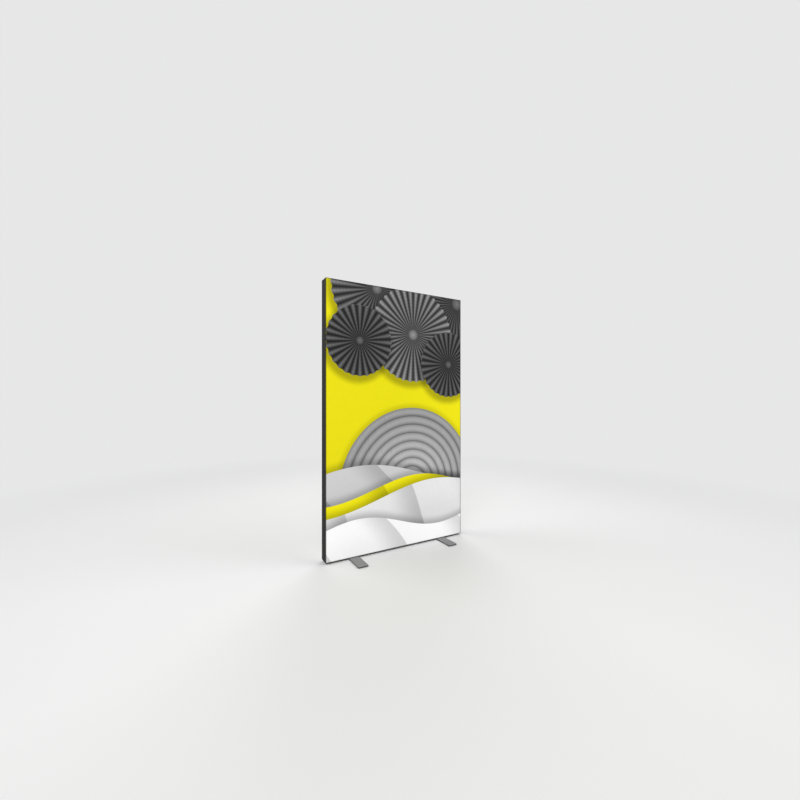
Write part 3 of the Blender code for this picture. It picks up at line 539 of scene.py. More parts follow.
@dataclass(frozen=True)
class Extruded(Finish):
    """Extruded aluminium with die lines along its length and rubbed outer edges."""

    along: Axis
    colour: Colour = (0.6, 0.6, 0.61)
    roughness: float = 0.38
    rubbed: Colour = (0.7, 0.7, 0.7)
    metallic: float = 1.0
    shine: float = 0.5
    title: str = "bare extruded aluminium"
    line_pitch: float = 0.0007
    line_detail: float = 3
    line_length: float = 0.4
    line_tone: float = 0.24
    line_roughness: float = 0.18
    cloud_size: float = 0.11
    cloud_tone: float = 0.16
    cloud_roughness: float = 0.1
    edge: Pair = (0.0419, 0.0425)
    wear_noise: Pair = (0.035, 6)
    wear: Pair = (0.52, 0.68)
    wear_share: float = 0.35
    relief: Pair = (0.00003, 0.5)

    def paint(self, graph: Graph) -> None:
        """Die lines, slow change of tone along the length, and bare metal on the face edges.

        Args:
            graph: graph of the material.
        """
        stretch = tuple(self.line_pitch / self.line_length if axis is self.along else 1 for axis in Axis)
        lines = graph.noise(self.line_pitch, self.line_detail, stretch)
        cloud = graph.noise(self.cloud_size)
        shade = lines.swing(self.line_tone) + cloud.swing(self.cloud_tone) + 1
        edge = abs(graph.coordinates()[1]).rise(*self.edge)
        worn = (edge * graph.noise(*self.wear_noise)).rise(*self.wear) * self.wear_share
        roughness = lines.swing(self.line_roughness) + cloud.swing(self.cloud_roughness)
        graph.surface(
            base_color=graph.mix(worn, graph.dimmed(self.colour, shade), self.rubbed),
            metallic=self.metallic,
            specular_ior_level=self.shine,
            roughness=roughness + self.roughness,
        )
        graph.relief(lines, *self.relief)


@dataclass(frozen=True)
class PowderCoat(Finish):
    """Grey powder coat on steel plate, with its orange-peel skin, a few scuffs, and painted shade on the
    faces that stand upright.
    """

    title: str = "grey powder coat"
    colour: Colour = (0.2, 0.2, 0.202)
    scuffed: Colour = (0.3, 0.3, 0.3)
    # painted shade: share of the tone kept on faces that stand upright, and the slope of the normal over
    # which it falls
    cut_edge: float = 0.3
    cut_edge_slope: Pair = (0.4, 0.9)
    peel_size: float = 0.0018
    speckle: Pair = (0.0006, 1)
    speckle_tone: float = 0.3
    cloud_size: float = 0.08
    cloud_tone: float = 0.14
    scuff_noise: tuple[float, float, Place] = (0.018, 6, (1, 0.25, 1))
    scuff: Pair = (0.6, 0.72)
    scuff_share: float = 0.2
    scuff_roughness: float = 0.12
    roughness: Pair = (0.38, 0.54)
    relief: Pair = (0.00012, 0.6)

    def paint(self, graph: Graph) -> None:
        """Peel, fine speckle and scuffs, and painted shade that darkens the faces that stand upright.

        Args:
            graph: graph of the material.
        """
        peel = graph.noise(self.peel_size)
        speckle = graph.noise(*self.speckle).swing(self.speckle_tone)
        cloud = graph.noise(self.cloud_size).swing(self.cloud_tone)
        scuffs = graph.noise(*self.scuff_noise).rise(*self.scuff)
        # painted shade: the tone falls on faces whose normal lies level, so that upright faces look unlit
        facing = graph.node("SeparateXYZ", sockets={0: graph.node("NewGeometry").outputs["Normal"]})
        level = abs(Value(graph, facing.outputs[2])).rise(*self.cut_edge_slope).span(self.cut_edge, 1)
        colour = graph.dimmed(self.colour, (speckle + cloud + 1) * level)
        graph.surface(
            base_color=graph.mix(scuffs * self.scuff_share, colour, self.scuffed),
            metallic=0.0,
            roughness=scuffs * self.scuff_roughness + peel.span(*self.roughness),
        )
        graph.relief(peel, *self.relief)


@dataclass(frozen=True)
class CircuitBoard(Finish):
    """White solder mask over two copper runs, with tinned pads at each lamp."""

    first_lamp: float
    pitch: float
    title: str = "white circuit board"
    mask: Colour = (0.8, 0.8, 0.78)
    over_copper: Colour = (0.68, 0.7, 0.64)
    tin: Colour = (0.6, 0.6, 0.58)
    run_aside: float = 0.0044
    run: Pair = (0.0006, 0.0004)
    pad_from_lamp: float = 0.0095
    pad_length: Pair = (0.0012, 0.001)
    pad_width: Pair = (0.0016, 0.0014)
    roughness: Pair = (0.3, 0.42)
    tin_roughness: float = -0.1
    grain_size: float = 0.002
    copper_height: float = 0.5
    relief: Pair = (0.00004, 0.8)

    def paint(self, graph: Graph) -> None:
        """Runs at a distance either side of the middle, and pads at a place within each pitch.

        Args:
            graph: graph of the material.
        """
        _, through, up = graph.coordinates()
        aside = abs(through)
        run = abs(aside - self.run_aside).rise(*self.run)
        from_lamp = abs(((up - self.first_lamp) / self.pitch + 0.5).fraction() - 0.5) * self.pitch
        pads = abs(from_lamp - self.pad_from_lamp).rise(*self.pad_length) * aside.rise(*self.pad_width)
        mask = graph.mix(run, self.mask, self.over_copper)
        graph.surface(
            base_color=graph.mix(pads, mask, self.tin),
            metallic=pads,
            roughness=pads * self.tin_roughness + graph.noise(self.grain_size).span(*self.roughness),
        )
        graph.relief(run * self.copper_height + pads * self.copper_height, *self.relief)


# Printed fabric


def away(beside: Value, above: Value) -> Value:
    """Distance of a place that lies so far beside and above."""
    return (beside * beside + above * above) ** 0.5


@dataclass(frozen=True)
class Ground:
    """Ground that the design is laid on: its graph, and the place across and up from its middle."""

    graph: Graph
    across: Value
    up: Value


@dataclass(frozen=True)
class Shadow:
    """Shadow of a layer: how far out it ends and starts, its strength, and the tone left in it."""

    end: float
    start: float
    strength: float
    tone: float


Cut = tuple[Value, list[tuple[Value, Socket]]]


class Layer:
    """Layer of cut paper in the design."""

    shadow: Shadow
    edge_soft: float = 0.0012

    def cut(self, ground: Ground) -> Cut:
        """Distance outside the shadow's edge, and the distance outside and colour of each paper."""
        raise NotImplementedError

    def laid(self, ground: Ground, picture: Tint) -> Socket:
        """Lay the shadow and then each paper over a picture.

        Args:
            ground: ground of the design.
            picture: colour so far.

        Returns:
            Colour with the layer.
        """
        graph = ground.graph
        cast, papers = self.cut(ground)
        shadow = cast.rise(self.shadow.end, self.shadow.start) * self.shadow.strength
        picture = graph.mix(shadow, picture, graph.dimmed(picture, self.shadow.tone))
        for outside, colour in papers:
            picture = graph.mix(outside.rise(self.edge_soft, 0), picture, colour)
        return picture


@dataclass(frozen=True)
class Arches(Layer):
    """Nested paper arches about a point."""

    across: float
    up: float
    reach: float
    band: float
    dark: float
    light: float
    roll: float = 0.6
    slope: float = 0.4
    deep: Pair = (0.1, 1.1)
    deep_tone: float = 0.35
    grain_noise: tuple[float, float, Place] = (0.012, 6, (1, 1, 0.2))
    grain: Pair = (0.9, 1.1)
    shadow: Shadow = Shadow(0.055, 0, 0.5, 0.5)

    def cut(self, ground: Ground) -> Cut:
        """Bands of distance from the point, each rolled, and darker inwards.

        Args:
            ground: ground of the design.

        Returns:
            Distance outside the arches, and their colour.
        """
        graph = ground.graph
        reach = away(ground.across - self.across, ground.up - self.up)
        outside = reach - self.reach
        step = (outside / self.band).fraction()
        roll = (step * math.pi).sine() * self.roll + step * self.slope
        deep = (reach / self.reach).rise(*self.deep)
        grain = graph.noise(*self.grain_noise).span(*self.grain)
        shade = roll.span(self.dark, self.light) * (1 - deep * self.deep_tone) * grain
        return outside, [(outside, graph.grey(shade))]


@dataclass(frozen=True)
class Fan(Layer):
    """Pleated paper fan about a point, with a small boss."""

    across: float
    up: float
    radius: float
    pleats: int
    dark: float
    light: float
    scallop: float = 0.035
    crease: float = 1.6
    fade: Pair = (0.35, 1.1)
    rib_pitch: float = 0.026
    rib_tone: float = 0.16
    boss: float = 0.11
    boss_fade: Pair = (0.9, -4)
    thrown_left: float = 0.012
    thrown_down: float = 0.03
    shadow: Shadow = Shadow(0.055, -0.01, 0.75, 0.35)

    def cut(self, ground: Ground) -> Cut:
        """Pleats by angle inside a scalloped rim, a boss over them, and a shadow to the lower left.

        Args:
            ground: ground of the design.

        Returns:
            Distance outside the shadow's edge, and the pleats and the boss.
        """
        graph = ground.graph
        beside, above = ground.across - self.across, ground.up - self.up
        reach = away(beside, above)
        turn = graph.maths("ARCTAN2", above, beside) * (self.pleats / TURN)
        crease = abs(turn.fraction() - 0.5) * 2
        rim = reach - crease.swing(self.radius * self.scallop) - self.radius
        cast = away(beside + self.thrown_left, above + self.thrown_down) - self.radius
        depth = reach / self.radius
        ribs = abs((reach * (math.pi / self.rib_pitch)).sine()) * self.rib_tone
        pleat = crease ** self.crease * (self.light - self.dark) * depth.span(*self.fade)
        pleats = graph.grey(pleat * (1 - ribs) + self.dark)
        boss = graph.grey(depth.span(*self.boss_fade) * self.light)
        return cast, [(rim, pleats), (reach - self.radius * self.boss, boss)]


@dataclass(frozen=True)
class Drift(Layer):
    """Paper across the foot of the print, under a wavy upper edge."""

    height: float
    swell: float
    waves: float
    start: float
    colour: Colour
    fold_across: float = 1.6
    fold_up: float = 1.1
    fold_waves: float = 5
    fold_bend: float = 0.12
    fold_rise: Pair = (0.55, 0.98)
    fold_drop: Pair = (1, 0.985)
    fold_tone: float = 0.3
    foot: Pair = (-0.02, -0.34)
    foot_tone: float = 0.12
    shadow: Shadow = Shadow(0.077, -0.004, 0.6, 0.3)

    def cut(self, ground: Ground) -> Cut:
        """Paper below the wavy edge, with soft folds.

        Args:
            ground: ground of the design.

        Returns:
            Distance above the edge, and the paper.
        """
        across, up = ground.across, ground.up
        over = up - ((across * self.waves + self.start).sine() * self.swell + self.height)
        straight = across * self.fold_across + up * self.fold_up
        bend = (up * self.fold_waves + self.start).sine() * self.fold_bend
        folds = (straight + bend + self.start).fraction()
        fold = folds.rise(*self.fold_rise) * folds.rise(*self.fold_drop)
        lit = 1 - fold * self.fold_tone - over.rise(*self.foot) * self.foot_tone
        return over, [(over, ground.graph.dimmed(self.colour, lit))]


@dataclass(frozen=True)
class PrintedFabric(Finish):
    """Dye-printed backlight fabric: paper fans and arches over a yellow field, white drifts at the foot."""

    cut_width: float
    cut_height: float
    seen_width: float
    seen_height: float
    title: str = "printed fabric"
    field: Colour = tone(239, 229, 18)
    field_low: Colour = tone(229, 217, 20)
    field_across: float = 0.5
    field_up: float = 0.35
    field_span: Pair = (-0.9, 0.6)
    mottle_noise: Pair = (0.03, 5)
    mottle: Pair = (0.97, 1.03)
    lamp_share: float = 0.8
    cloth_share: float = 0.3
    # painted shade in the glow: it rises over this distance from the edge, from the rim share where the
    # profile shades the cloth, and dips in the middle, farthest from the lamps
    rim: Pair = (-0.002, 0.008)
    rim_glow: float = 0.35
    middle_reach: float = 0.6
    middle_dim: float = 0.05
    shine: float = 0.12
    roughness: Pair = (0.75, 0.9)
    roughness_size: float = 0.002
    knit_pitch: float = 0.0011
    knit_height: float = 0.15
    pull_pitch: float = 0.013
    pull_reach: float = 0.02
    pull_height: float = 0.5
    relief: Pair = (0.0004, 0.5)
    layers: tuple[Layer, ...] = (
        Arches(0.10, -0.52, 0.60, 0.066, 0.14, 0.62),
        Fan(0.56, 0.96, 0.46, 44, 0.012, 0.19),
        Fan(-0.20, 0.98, 0.36, 34, 0.016, 0.24),
        Fan(0.12, 0.66, 0.37, 38, 0.02, 0.34),
        Fan(-0.34, 0.58, 0.26, 28, 0.01, 0.16),
        Fan(0.47, 0.44, 0.27, 30, 0.01, 0.15),
        Drift(-0.43, 0.09, 3.3, 2.6, tone(206, 206, 206)),
        Drift(-0.53, 0.08, 4.0, 0.9, tone(239, 229, 18)),
        Drift(-0.60, 0.10, 3.1, 0.5, tone(232, 232, 232)),
        Drift(-0.80, 0.07, 4.6, 3.1, tone(252, 252, 252)),
    )

    def paint(self, graph: Graph) -> None:
        """Design, painted glow from the lamps inside with painted shade at the rim and in the middle, knit
        and pulled edge.

        Args:
            graph: graph of the material.
        """
        along_width, along_height, _ = graph.coordinates("UV")
        across = along_width.swing(self.cut_width)
        up = along_height.swing(self.cut_height)
        slope = (across * self.field_across + up * self.field_up).rise(*self.field_span)
        picture = graph.mix(slope, self.field_low, self.field)
        for layer in self.layers:
            picture = layer.laid(Ground(graph, across, up), picture)
        picture = graph.dimmed(picture, graph.noise(*self.mottle_noise).span(*self.mottle))
        to_edge = (self.seen_width / 2 - abs(across)).least(self.seen_height / 2 - abs(up))
        # painted glow of the lamps inside, with painted shade towards the rim and in the middle
        rim = to_edge.rise(*self.rim).span(self.rim_glow, 1)
        glow = rim * (1 - abs(across).rise(self.middle_reach, 0) * self.middle_dim)
        graph.surface(
            base_color=graph.dimmed(picture, self.cloth_share),
            emission_color=graph.dimmed(picture, glow * self.lamp_share),
            emission_strength=1.0,
            metallic=0.0,
            specular_ior_level=self.shine,
            roughness=graph.noise(self.roughness_size).span(*self.roughness),
        )
        knit = (across * (TURN / self.knit_pitch)).sine() * (up * (TURN / self.knit_pitch)).sine()
        pull = ((across + up) * (TURN / self.pull_pitch)).sine() * to_edge.rise(self.pull_reach, 0)
        graph.relief(knit * self.knit_height + pull * self.pull_height, *self.relief)


# Shapes


def clean(mesh: bpy.types.Mesh, distance: float, closed: bool) -> None:
    """Drop points without faces, merge the close ones, and shade smooth.

    Args:
        mesh: the mesh.
        distance: how close the points are that are merged.
        closed: whether it is closed, so that its faces are turned outwards.
    """
    work = bmesh.new()
    work.from_mesh(mesh)
    loose = [vertex for vertex in work.verts if not vertex.link_faces]
    bmesh.ops.delete(work, geom=loose, context="VERTS")
    bmesh.ops.remove_doubles(work, verts=work.verts, dist=distance)
    if closed:
        bmesh.ops.recalc_face_normals(work, faces=work.faces)
    work.to_mesh(mesh)
    work.free()
    mesh.shade_smooth()


@dataclass
class Shape:
    """Points and faces of a surface while it is worked out."""

    points: np.ndarray
    faces: list[list[int]]

    def moved(self, across: float = 0, through: float = 0, up: float = 0) -> "Shape":
        """The shape shifted."""
        return Shape(self.points + np.array([across, through, up]), self.faces)

    def swapped(self, order: Sequence[int], signs: Sequence[float] = (1, 1, 1)) -> "Shape":
        """The shape with its coordinates taken in another order and sign."""
        return Shape(self.points[:, list(order)] * np.array(signs), self.faces)

    def mesh(self, name: str) -> bpy.types.Mesh:
        """Closed mesh, its faces turned outwards; those of more than four corners are flat ends.

        Args:
            name: name of the mesh.

        Returns:
            The mesh.
        """
        mesh = bpy.data.meshes.new(name)
        mesh.from_pydata(self.points.tolist(), [], self.faces)
        clean(mesh, SKIN_MERGE, closed=True)
        mesh.set_sharp_from_angle(angle=SMOOTH_ANGLE)
        corners = np.zeros(len(mesh.polygons), np.int32)
        mesh.polygons.foreach_get("loop_total", corners)
        mesh.polygons.foreach_set("use_smooth", corners <= 4)
        return mesh


def together(shapes: Iterable[Shape]) -> Shape:
    """One shape of several shells; the faces of each count on from the points before it.

    Args:
        shapes: the shells.

    Returns:
        The shape.
    """
    parts = list(shapes)
    starts = np.cumsum([0] + [len(part.points) for part in parts[:-1]])
    faces = [
        [int(start) + corner for corner in face]
        for part, start in zip(parts, starts)
        for face in part.faces
    ]
    return Shape(np.concatenate([part.points for part in parts]), faces)


def band_faces(rows: int, columns: int, rows_close: bool, columns_close: bool) -> np.ndarray:
    """Four-sided faces between neighbours on a grid numbered row by row.

    Args:
        rows: number of rows.
        columns: number of points in a row.
        rows_close: whether the last row meets the first.
        columns_close: whether each row closes.

    Returns:
        Corner numbers of each face.
    """
    row, column = np.meshgrid(
        np.arange(rows if rows_close else rows - 1),
        np.arange(columns if columns_close else columns - 1),
        indexing="ij",
    )
    next_row = (row + 1) % rows
    next_column = (column + 1) % columns
    corners = [row * columns + column, row * columns + next_column]
    corners += [next_row * columns + next_column, next_row * columns + column]
    return np.stack(corners, axis=-1).reshape(-1, 4)


def skin(rings: np.ndarray, looped: bool = False) -> Shape:
    """Closed surface through rings of points.

    Each ring is joined to the next by a band of faces. A looped surface joins its last ring to its
    first, as round a hole, and any other has a flat face over each end.

    Args:
        rings: points by ring, place in the ring, and coordinate.
        looped: whether the last ring meets the first.

    Returns:
        The surface.
    """
    total, count = rings.shape[:2]
    faces = band_faces(total, count, looped, True).tolist()
    if not looped:
        faces.append(list(range(count))[::-1])
        faces.append(list(range((total - 1) * count, total * count)))
    return Shape(rings.reshape(-1, 3), faces)


def loft(outlines: Sequence[np.ndarray], places: Sequence[float], axis: Axis) -> np.ndarray:
    """Rings of outlines that lie along two axes, in XYZ order, set at places along the third."""
    pairs = zip(outlines, places)
    return np.stack([np.insert(outline, axis.value, place, axis=1) for outline, place in pairs])


def inset(outline: np.ndarray, distance: float) -> np.ndarray:
    """Outline drawn in, each point square to the line through its neighbours.

    Args:
        outline: points of the outline.
        distance: how far in, or out where it is negative.

    Returns:
        The outline drawn in.
    """
    along = np.roll(outline, -1, axis=0) - np.roll(outline, 1, axis=0)
    inward = np.stack([-along[:, 1], along[:, 0]], axis=-1)
    inward /= np.maximum(np.linalg.norm(inward, axis=1, keepdims=True), TINY)
    following = np.roll(outline, -1, axis=0)
    area = np.sum(outline[:, 0] * following[:, 1] - outline[:, 1] * following[:, 0])
    return outline + inward * distance * np.sign(area)


def bar(
    outline: np.ndarray, low: float, high: float, axis: Axis, edge: float = 0.0, steps: int = 3
) -> Shape:
    """Outline carried along an axis, with its two ends rounded over.

    At an angle a, the outline is drawn in by edge (1 - sin a) and stands edge (1 - cos a) inside
    the end.

    Args:
        outline: points along the other two axes, in XYZ order.
        low: lower end.
        high: upper end.
        axis: the axis.
        edge: radius of the rounded ends, or 0 for square ones.
        steps: rings in each rounded end.

    Returns:
        The bar.
    """
    outline = np.asarray(outline, float)
    if edge == 0:
        return skin(loft([outline, outline], [low, high], axis))
    angle = np.linspace(0, math.pi / 2, steps)
    rings = [inset(outline, draw) for draw in edge * (1 - np.sin(angle))]
    back = edge * (1 - np.cos(angle))
    return skin(loft(rings + rings[::-1], [*(low + back), *(high - back[::-1])], axis))


def softened(outline: Sequence[tuple[float, float]], radius: float, steps: int = 4) -> np.ndarray:
    """Closed outline with each corner taken round a curve.

    A corner P between A and B becomes (1-t)^2 S + 2t(1-t) P + t^2 E, with S and E a radius back
    along the two sides, or just under half a side where that is shorter.

    Args:
        outline: corner points.
        radius: length taken off each side at a corner.
        steps: points along each curve.

    Returns:
        Points of the softened outline.
    """
    corner = np.array(outline, float)
    arms = []
    for shift in (1, -1):
        side = np.roll(corner, shift, axis=0) - corner
        length = np.linalg.norm(side, axis=1, keepdims=True)
        arms.append((corner + side / length * np.minimum(radius, length * CORNER_SIDE_SHARE))[:, None])
    share = np.linspace(0, 1, steps)[None, :, None]
    curve = (1 - share) ** 2 * arms[0] + 2 * share * (1 - share) * corner[:, None] + share ** 2 * arms[1]
    return curve.reshape(-1, 2)


def rectangle(across: float, along: float, radius: float) -> np.ndarray:
    """Outline of a rectangle about the origin with softened corners."""
    half, reach = across / 2, along / 2
    return softened([(half, reach), (-half, reach), (-half, -reach), (half, -reach)], radius)


@dataclass(frozen=True)
class Block:
    """Small block about Z: its two widths, what its corners lose, its two ends, and its edges' radius."""

    across: float
    through: float
    corner: float
    low: float
    high: float
    edge: float = 0.0

    def shape(self) -> Shape:
        """The block."""
        outline = rectangle(self.across, self.through, self.corner)
        return bar(outline, self.low, self.high, Axis.UP, self.edge)


def spokes(sides: int) -> tuple[np.ndarray, np.ndarray]:
    """Angles in even steps round a full turn, and the point of the unit circle at each."""
    angle = np.linspace(0, TURN, sides, endpoint=False)
    return angle, np.stack([np.cos(angle), np.sin(angle)], axis=-1)


def squircle(across: float, along: float, power: float, count: int = 32) -> np.ndarray:
    """Outline between an ellipse and a rectangle, where |x/a|^p + |y/b|^p is 1.

    Args:
        across: its width.
        along: its length.
        power: 2 for an ellipse, and more for squarer corners.
        count: number of points.

    Returns:
        The outline.
    """
    circle = spokes(count)[1]
    reach = np.sum(np.abs(circle) ** power, axis=1, keepdims=True) ** (-1 / power)
    return circle * reach * (across / 2, along / 2)


def turned(profile: Sequence[tuple[float, float]], sides: int = 40, looped: bool = False) -> Shape:
    """Profile of radii and heights turned about Z; a looped one closes, as on a ring."""
    radius, height = np.array(profile, float).T
    return skin(loft(radius[:, None, None] * spokes(sides)[1], height, Axis.UP), looped)


def eased(knots: Sequence[Sequence[float]], steps: int = 10) -> np.ndarray:
    """Smooth route through knots.

    Each gap is a cubic piece. Its slope along an axis at a knot is 2ab / (a + b), with a and b the
    slopes on the two sides, or 0 where these differ in sign.

    Args:
        knots: points that it passes.
        steps: points from each knot to the next.

    Returns:
        Points of the route.
    """
    knot = np.array(knots, float)
    gap = np.linalg.norm(np.diff(knot, axis=0), axis=1)[:, None]
    slope = np.diff(knot, axis=0) / gap
    before, after = slope[:-1], slope[1:]
    onward = before * after > 0
    inner = np.where(onward, 2 * before * after / np.where(onward, before + after, 1), 0)
    pull = np.concatenate([slope[:1], inner, slope[-1:]])
    t = np.linspace(0, 1, steps, endpoint=False)[None, :, None]
    start, end, reach = knot[:-1, None], knot[1:, None], gap[:, None]
    route = start * (2 * t ** 3 - 3 * t ** 2 + 1) + pull[:-1, None] * reach * (t ** 3 - 2 * t ** 2 + t)
    route = route + end * (3 * t ** 2 - 2 * t ** 3) + pull[1:, None] * reach * (t ** 3 - t ** 2)
    return np.concatenate([route.reshape(-1, knot.shape[1]), knot[-1:]])


def tube(route: np.ndarray, radius: float, sides: int = 14) -> Shape:
    """Round tube about a route that never runs along Y.

    Each ring lies in the plane of T x Y and (T x Y) x T, with T the route's direction there.

    Args:
        route: points of its middle line.
        radius: its radius.
        sides: its number of sides.

    Returns:
        The tube.
    """
    along = np.gradient(route, axis=0)
    along /= np.linalg.norm(along, axis=1, keepdims=True)
    aside = np.cross(along, (0.0, 1.0, 0.0))
    aside /= np.linalg.norm(aside, axis=1, keepdims=True)
    above = np.cross(aside, along)
    circle = spokes(sides)[1] * radius
    return skin(route[:, None] + circle[:, :1] * aside[:, None] + circle[:, 1:] * above[:, None])


class Drive(Enum):
    """Recess in a fastener's head."""

    HEXAGON = "hexagon"
    CROSS = "cross"

    def reach(self, angle: np.ndarray, size: float) -> np.ndarray:
        """Distance from the middle to the recess's side.

        A hexagon's side lies at a / cos(t), with t the turn from the nearest flat. A cross is two
        slots, and its side is the farther of theirs.

        Args:
            angle: directions.
            size: distance from flat to flat, or from arm end to arm end.

        Returns:
            The distance in each direction.
        """
        if self is Drive.HEXAGON:
            return size / 2 / np.cos((angle + math.pi / 6) % (math.pi / 3) - math.pi / 6)
        cosine = np.maximum(np.abs(np.cos(angle)), TINY)
        sine = np.maximum(np.abs(np.sin(angle)), TINY)
        long, short = size / 2, size / 2 * CROSS_ARM_SHARE
        level = np.minimum(long / cosine, short / sine)
        upright = np.minimum(short / cosine, long / sine)
        return np.maximum(level, upright)


@dataclass(frozen=True)
class Fastener:
    """Screw or bolt about Z, its head's face at zero height and its shank below."""

    drive: Drive
    drive_size: float
    drive_depth: float
    head: tuple[Pair, ...]
    shank: float
    thread_start: float
    pitch: float
    sides: int = 48
    rows_per_turn: int = 6
    thread_share: float = 0.3
    tip_share: float = 0.5
    recess_shares: tuple[Pair, ...] = ((0.02, 1.15), (0.7, 1), (0.97, 0.9), (1, 0))

    def shape(self, length: float) -> Shape:
        """Recess, head, shank, thread and tip as one skin.

        In the thread the radius falls by a triangle wave of height / pitch - angle / turn. The
        recess is given in shares of its reach and of its depth.

        Args:
            length: length over all.

        Returns:
            The fastener.
        """
        angle, circle = spokes(self.sides)
        recess = self.drive.reach(angle, self.drive_size)
        depth = self.pitch * self.thread_share
        rows = int((length - self.thread_start) / self.pitch * self.rows_per_turn)
        heights = np.linspace(-self.thread_start, self.pitch * self.tip_share - length, rows)
        phase = (heights[:, None] / self.pitch - angle / TURN) % 1
        radii = [recess * reach for reach, _ in self.recess_shares]
        radii += [np.full(self.sides, radius) for radius, _ in self.head]
        radii += [*(self.shank - depth * np.abs(2 * phase - 1))]
        radii += [np.full(self.sides, self.shank - 2 * depth)]
        places = [-self.drive_depth * fall for _, fall in self.recess_shares]
        places += [*(height for _, height in self.head), *heights, -length]
        return skin(loft([radius[:, None] * circle for radius in radii], places, Axis.UP))


def pan_screw(head: float, falls: Sequence[float], neck: float, **sizes: float) -> Fastener:
    """Cross-recess screw; the falls are the depths of its dome, of its side's ends and of its neck."""
    dome = [(head * share, -fall) for share, fall in zip(PAN_SHARES, (0, *falls))]
    return Fastener(Drive.CROSS, head * PAN_DRIVE_SHARE, head=(*dome, (neck, -falls[-1])), **sizes)


def publish(
    name: str,
    surface: Shape | bpy.types.Mesh,
    finish: Finish,
    body: str = "wall",
    stands_for: Sequence[str] = (),
) -> bpy.types.Object:
    """Make a surface a finished piece that rides on a body.

    Args:
        name: the piece's name.
        surface: its closed shape or its mesh, in place.
        finish: its finish.
        body: body that it moves with.
        stands_for: solids that it replaces.

    Returns:
        The piece.
    """
    mesh = surface.mesh(name) if isinstance(surface, Shape) else surface
    mesh.materials.append(finish.material())
    piece = bpy.data.objects.new(name, mesh)
    bpy.context.scene.collection.objects.link(piece)
    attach(piece, body)
    if stands_for:
        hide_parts(*stands_for)
    LOG.info("%s on %s: %s", name, body, finish.title)
    return piece


def modify(piece: bpy.types.Object, name: str, kind: str, **settings: object) -> None:
    """Add a modifier.

    Args:
        piece: the object that it works on.
        name: its name.
        kind: its type.
        settings: its settings, by name.
    """
    modifier = piece.modifiers.new(name, kind)
    for setting, value in settings.items():
        setattr(modifier, setting, value)


def dress(nodes: Iterable[str], finish: Finish, edge: float = 0.0) -> None:
    """Give solids their finish, and soften their edges or smooth their round faces.

    Args:
        nodes: names of the solids.
        finish: finish of their surface.
        edge: width of the softened edges, or 0 for a smooth round piece.
    """
    for node in nodes:
        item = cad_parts[node]
        item.data.materials.clear()
        item.data.materials.append(finish.material())
        modify(item, "Weld", "WELD", merge_threshold=MERGE)
        if edge:
            modify(item, "Flat faces", "DECIMATE", decimate_type="DISSOLVE", angle_limit=FLAT_ANGLE)
            limit = {"limit_method": "ANGLE", "angle_limit": SMOOTH_ANGLE}
            modify(item, "Soft edges", "BEVEL", width=edge, segments=SOFT_SEGMENTS, **limit)
            modify(item, "Even shading", "WEIGHTED_NORMAL", keep_sharp=False)
        item.data.shade_smooth()
        LOG.info("%s: %s", node, finish.title)


def middle_of(node: str) -> np.ndarray:
    """Middle of a solid's box."""
    low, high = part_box(node)
    return (np.array(low) + np.array(high)) / 2


def face_across(node: str, side: Side, outward: bool = False) -> float:
    """Place across of a solid's face that looks into the frame, or of the one that looks outward."""
    low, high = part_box(node)
    return high.x if (side is Side.RIGHT) == outward else low.x


def on_upright(shape: Shape, side: Side) -> Shape:
    """Shape about Z, turned so that its own up points from an upright into the frame."""
    return shape.swapped((2, 1, 0), (-side.value, 1, 1))


# The wall's sub-assemblies


@dataclass
class FrameProfiles:
    """Dark anodised profiles: two rails, and two uprights in two halves each."""

    colour: Colour = (0.025, 0.025, 0.0258)
    roughness: float = 0.5
    rubbed: Colour = (0.055, 0.055, 0.055)
    metallic: float = 0.0
    shine: float = 0.03
    edge: float = 0.0003

    def build(self) -> None:
        """Dress each profile with its die lines along its own length."""
        uprights = [f"{side}_upright_{half}" for side in Side for half in Half]
        lengths = {Axis.ACROSS: ["top_rail", "bottom_rail"], Axis.UP: uprights}
        for along, nodes in lengths.items():
            title = f"dark anodised, {along}"
            looks = (self.colour, self.roughness, self.rubbed, self.metallic, self.shine)
            dress(nodes, Extruded(along, *looks, title), self.edge)


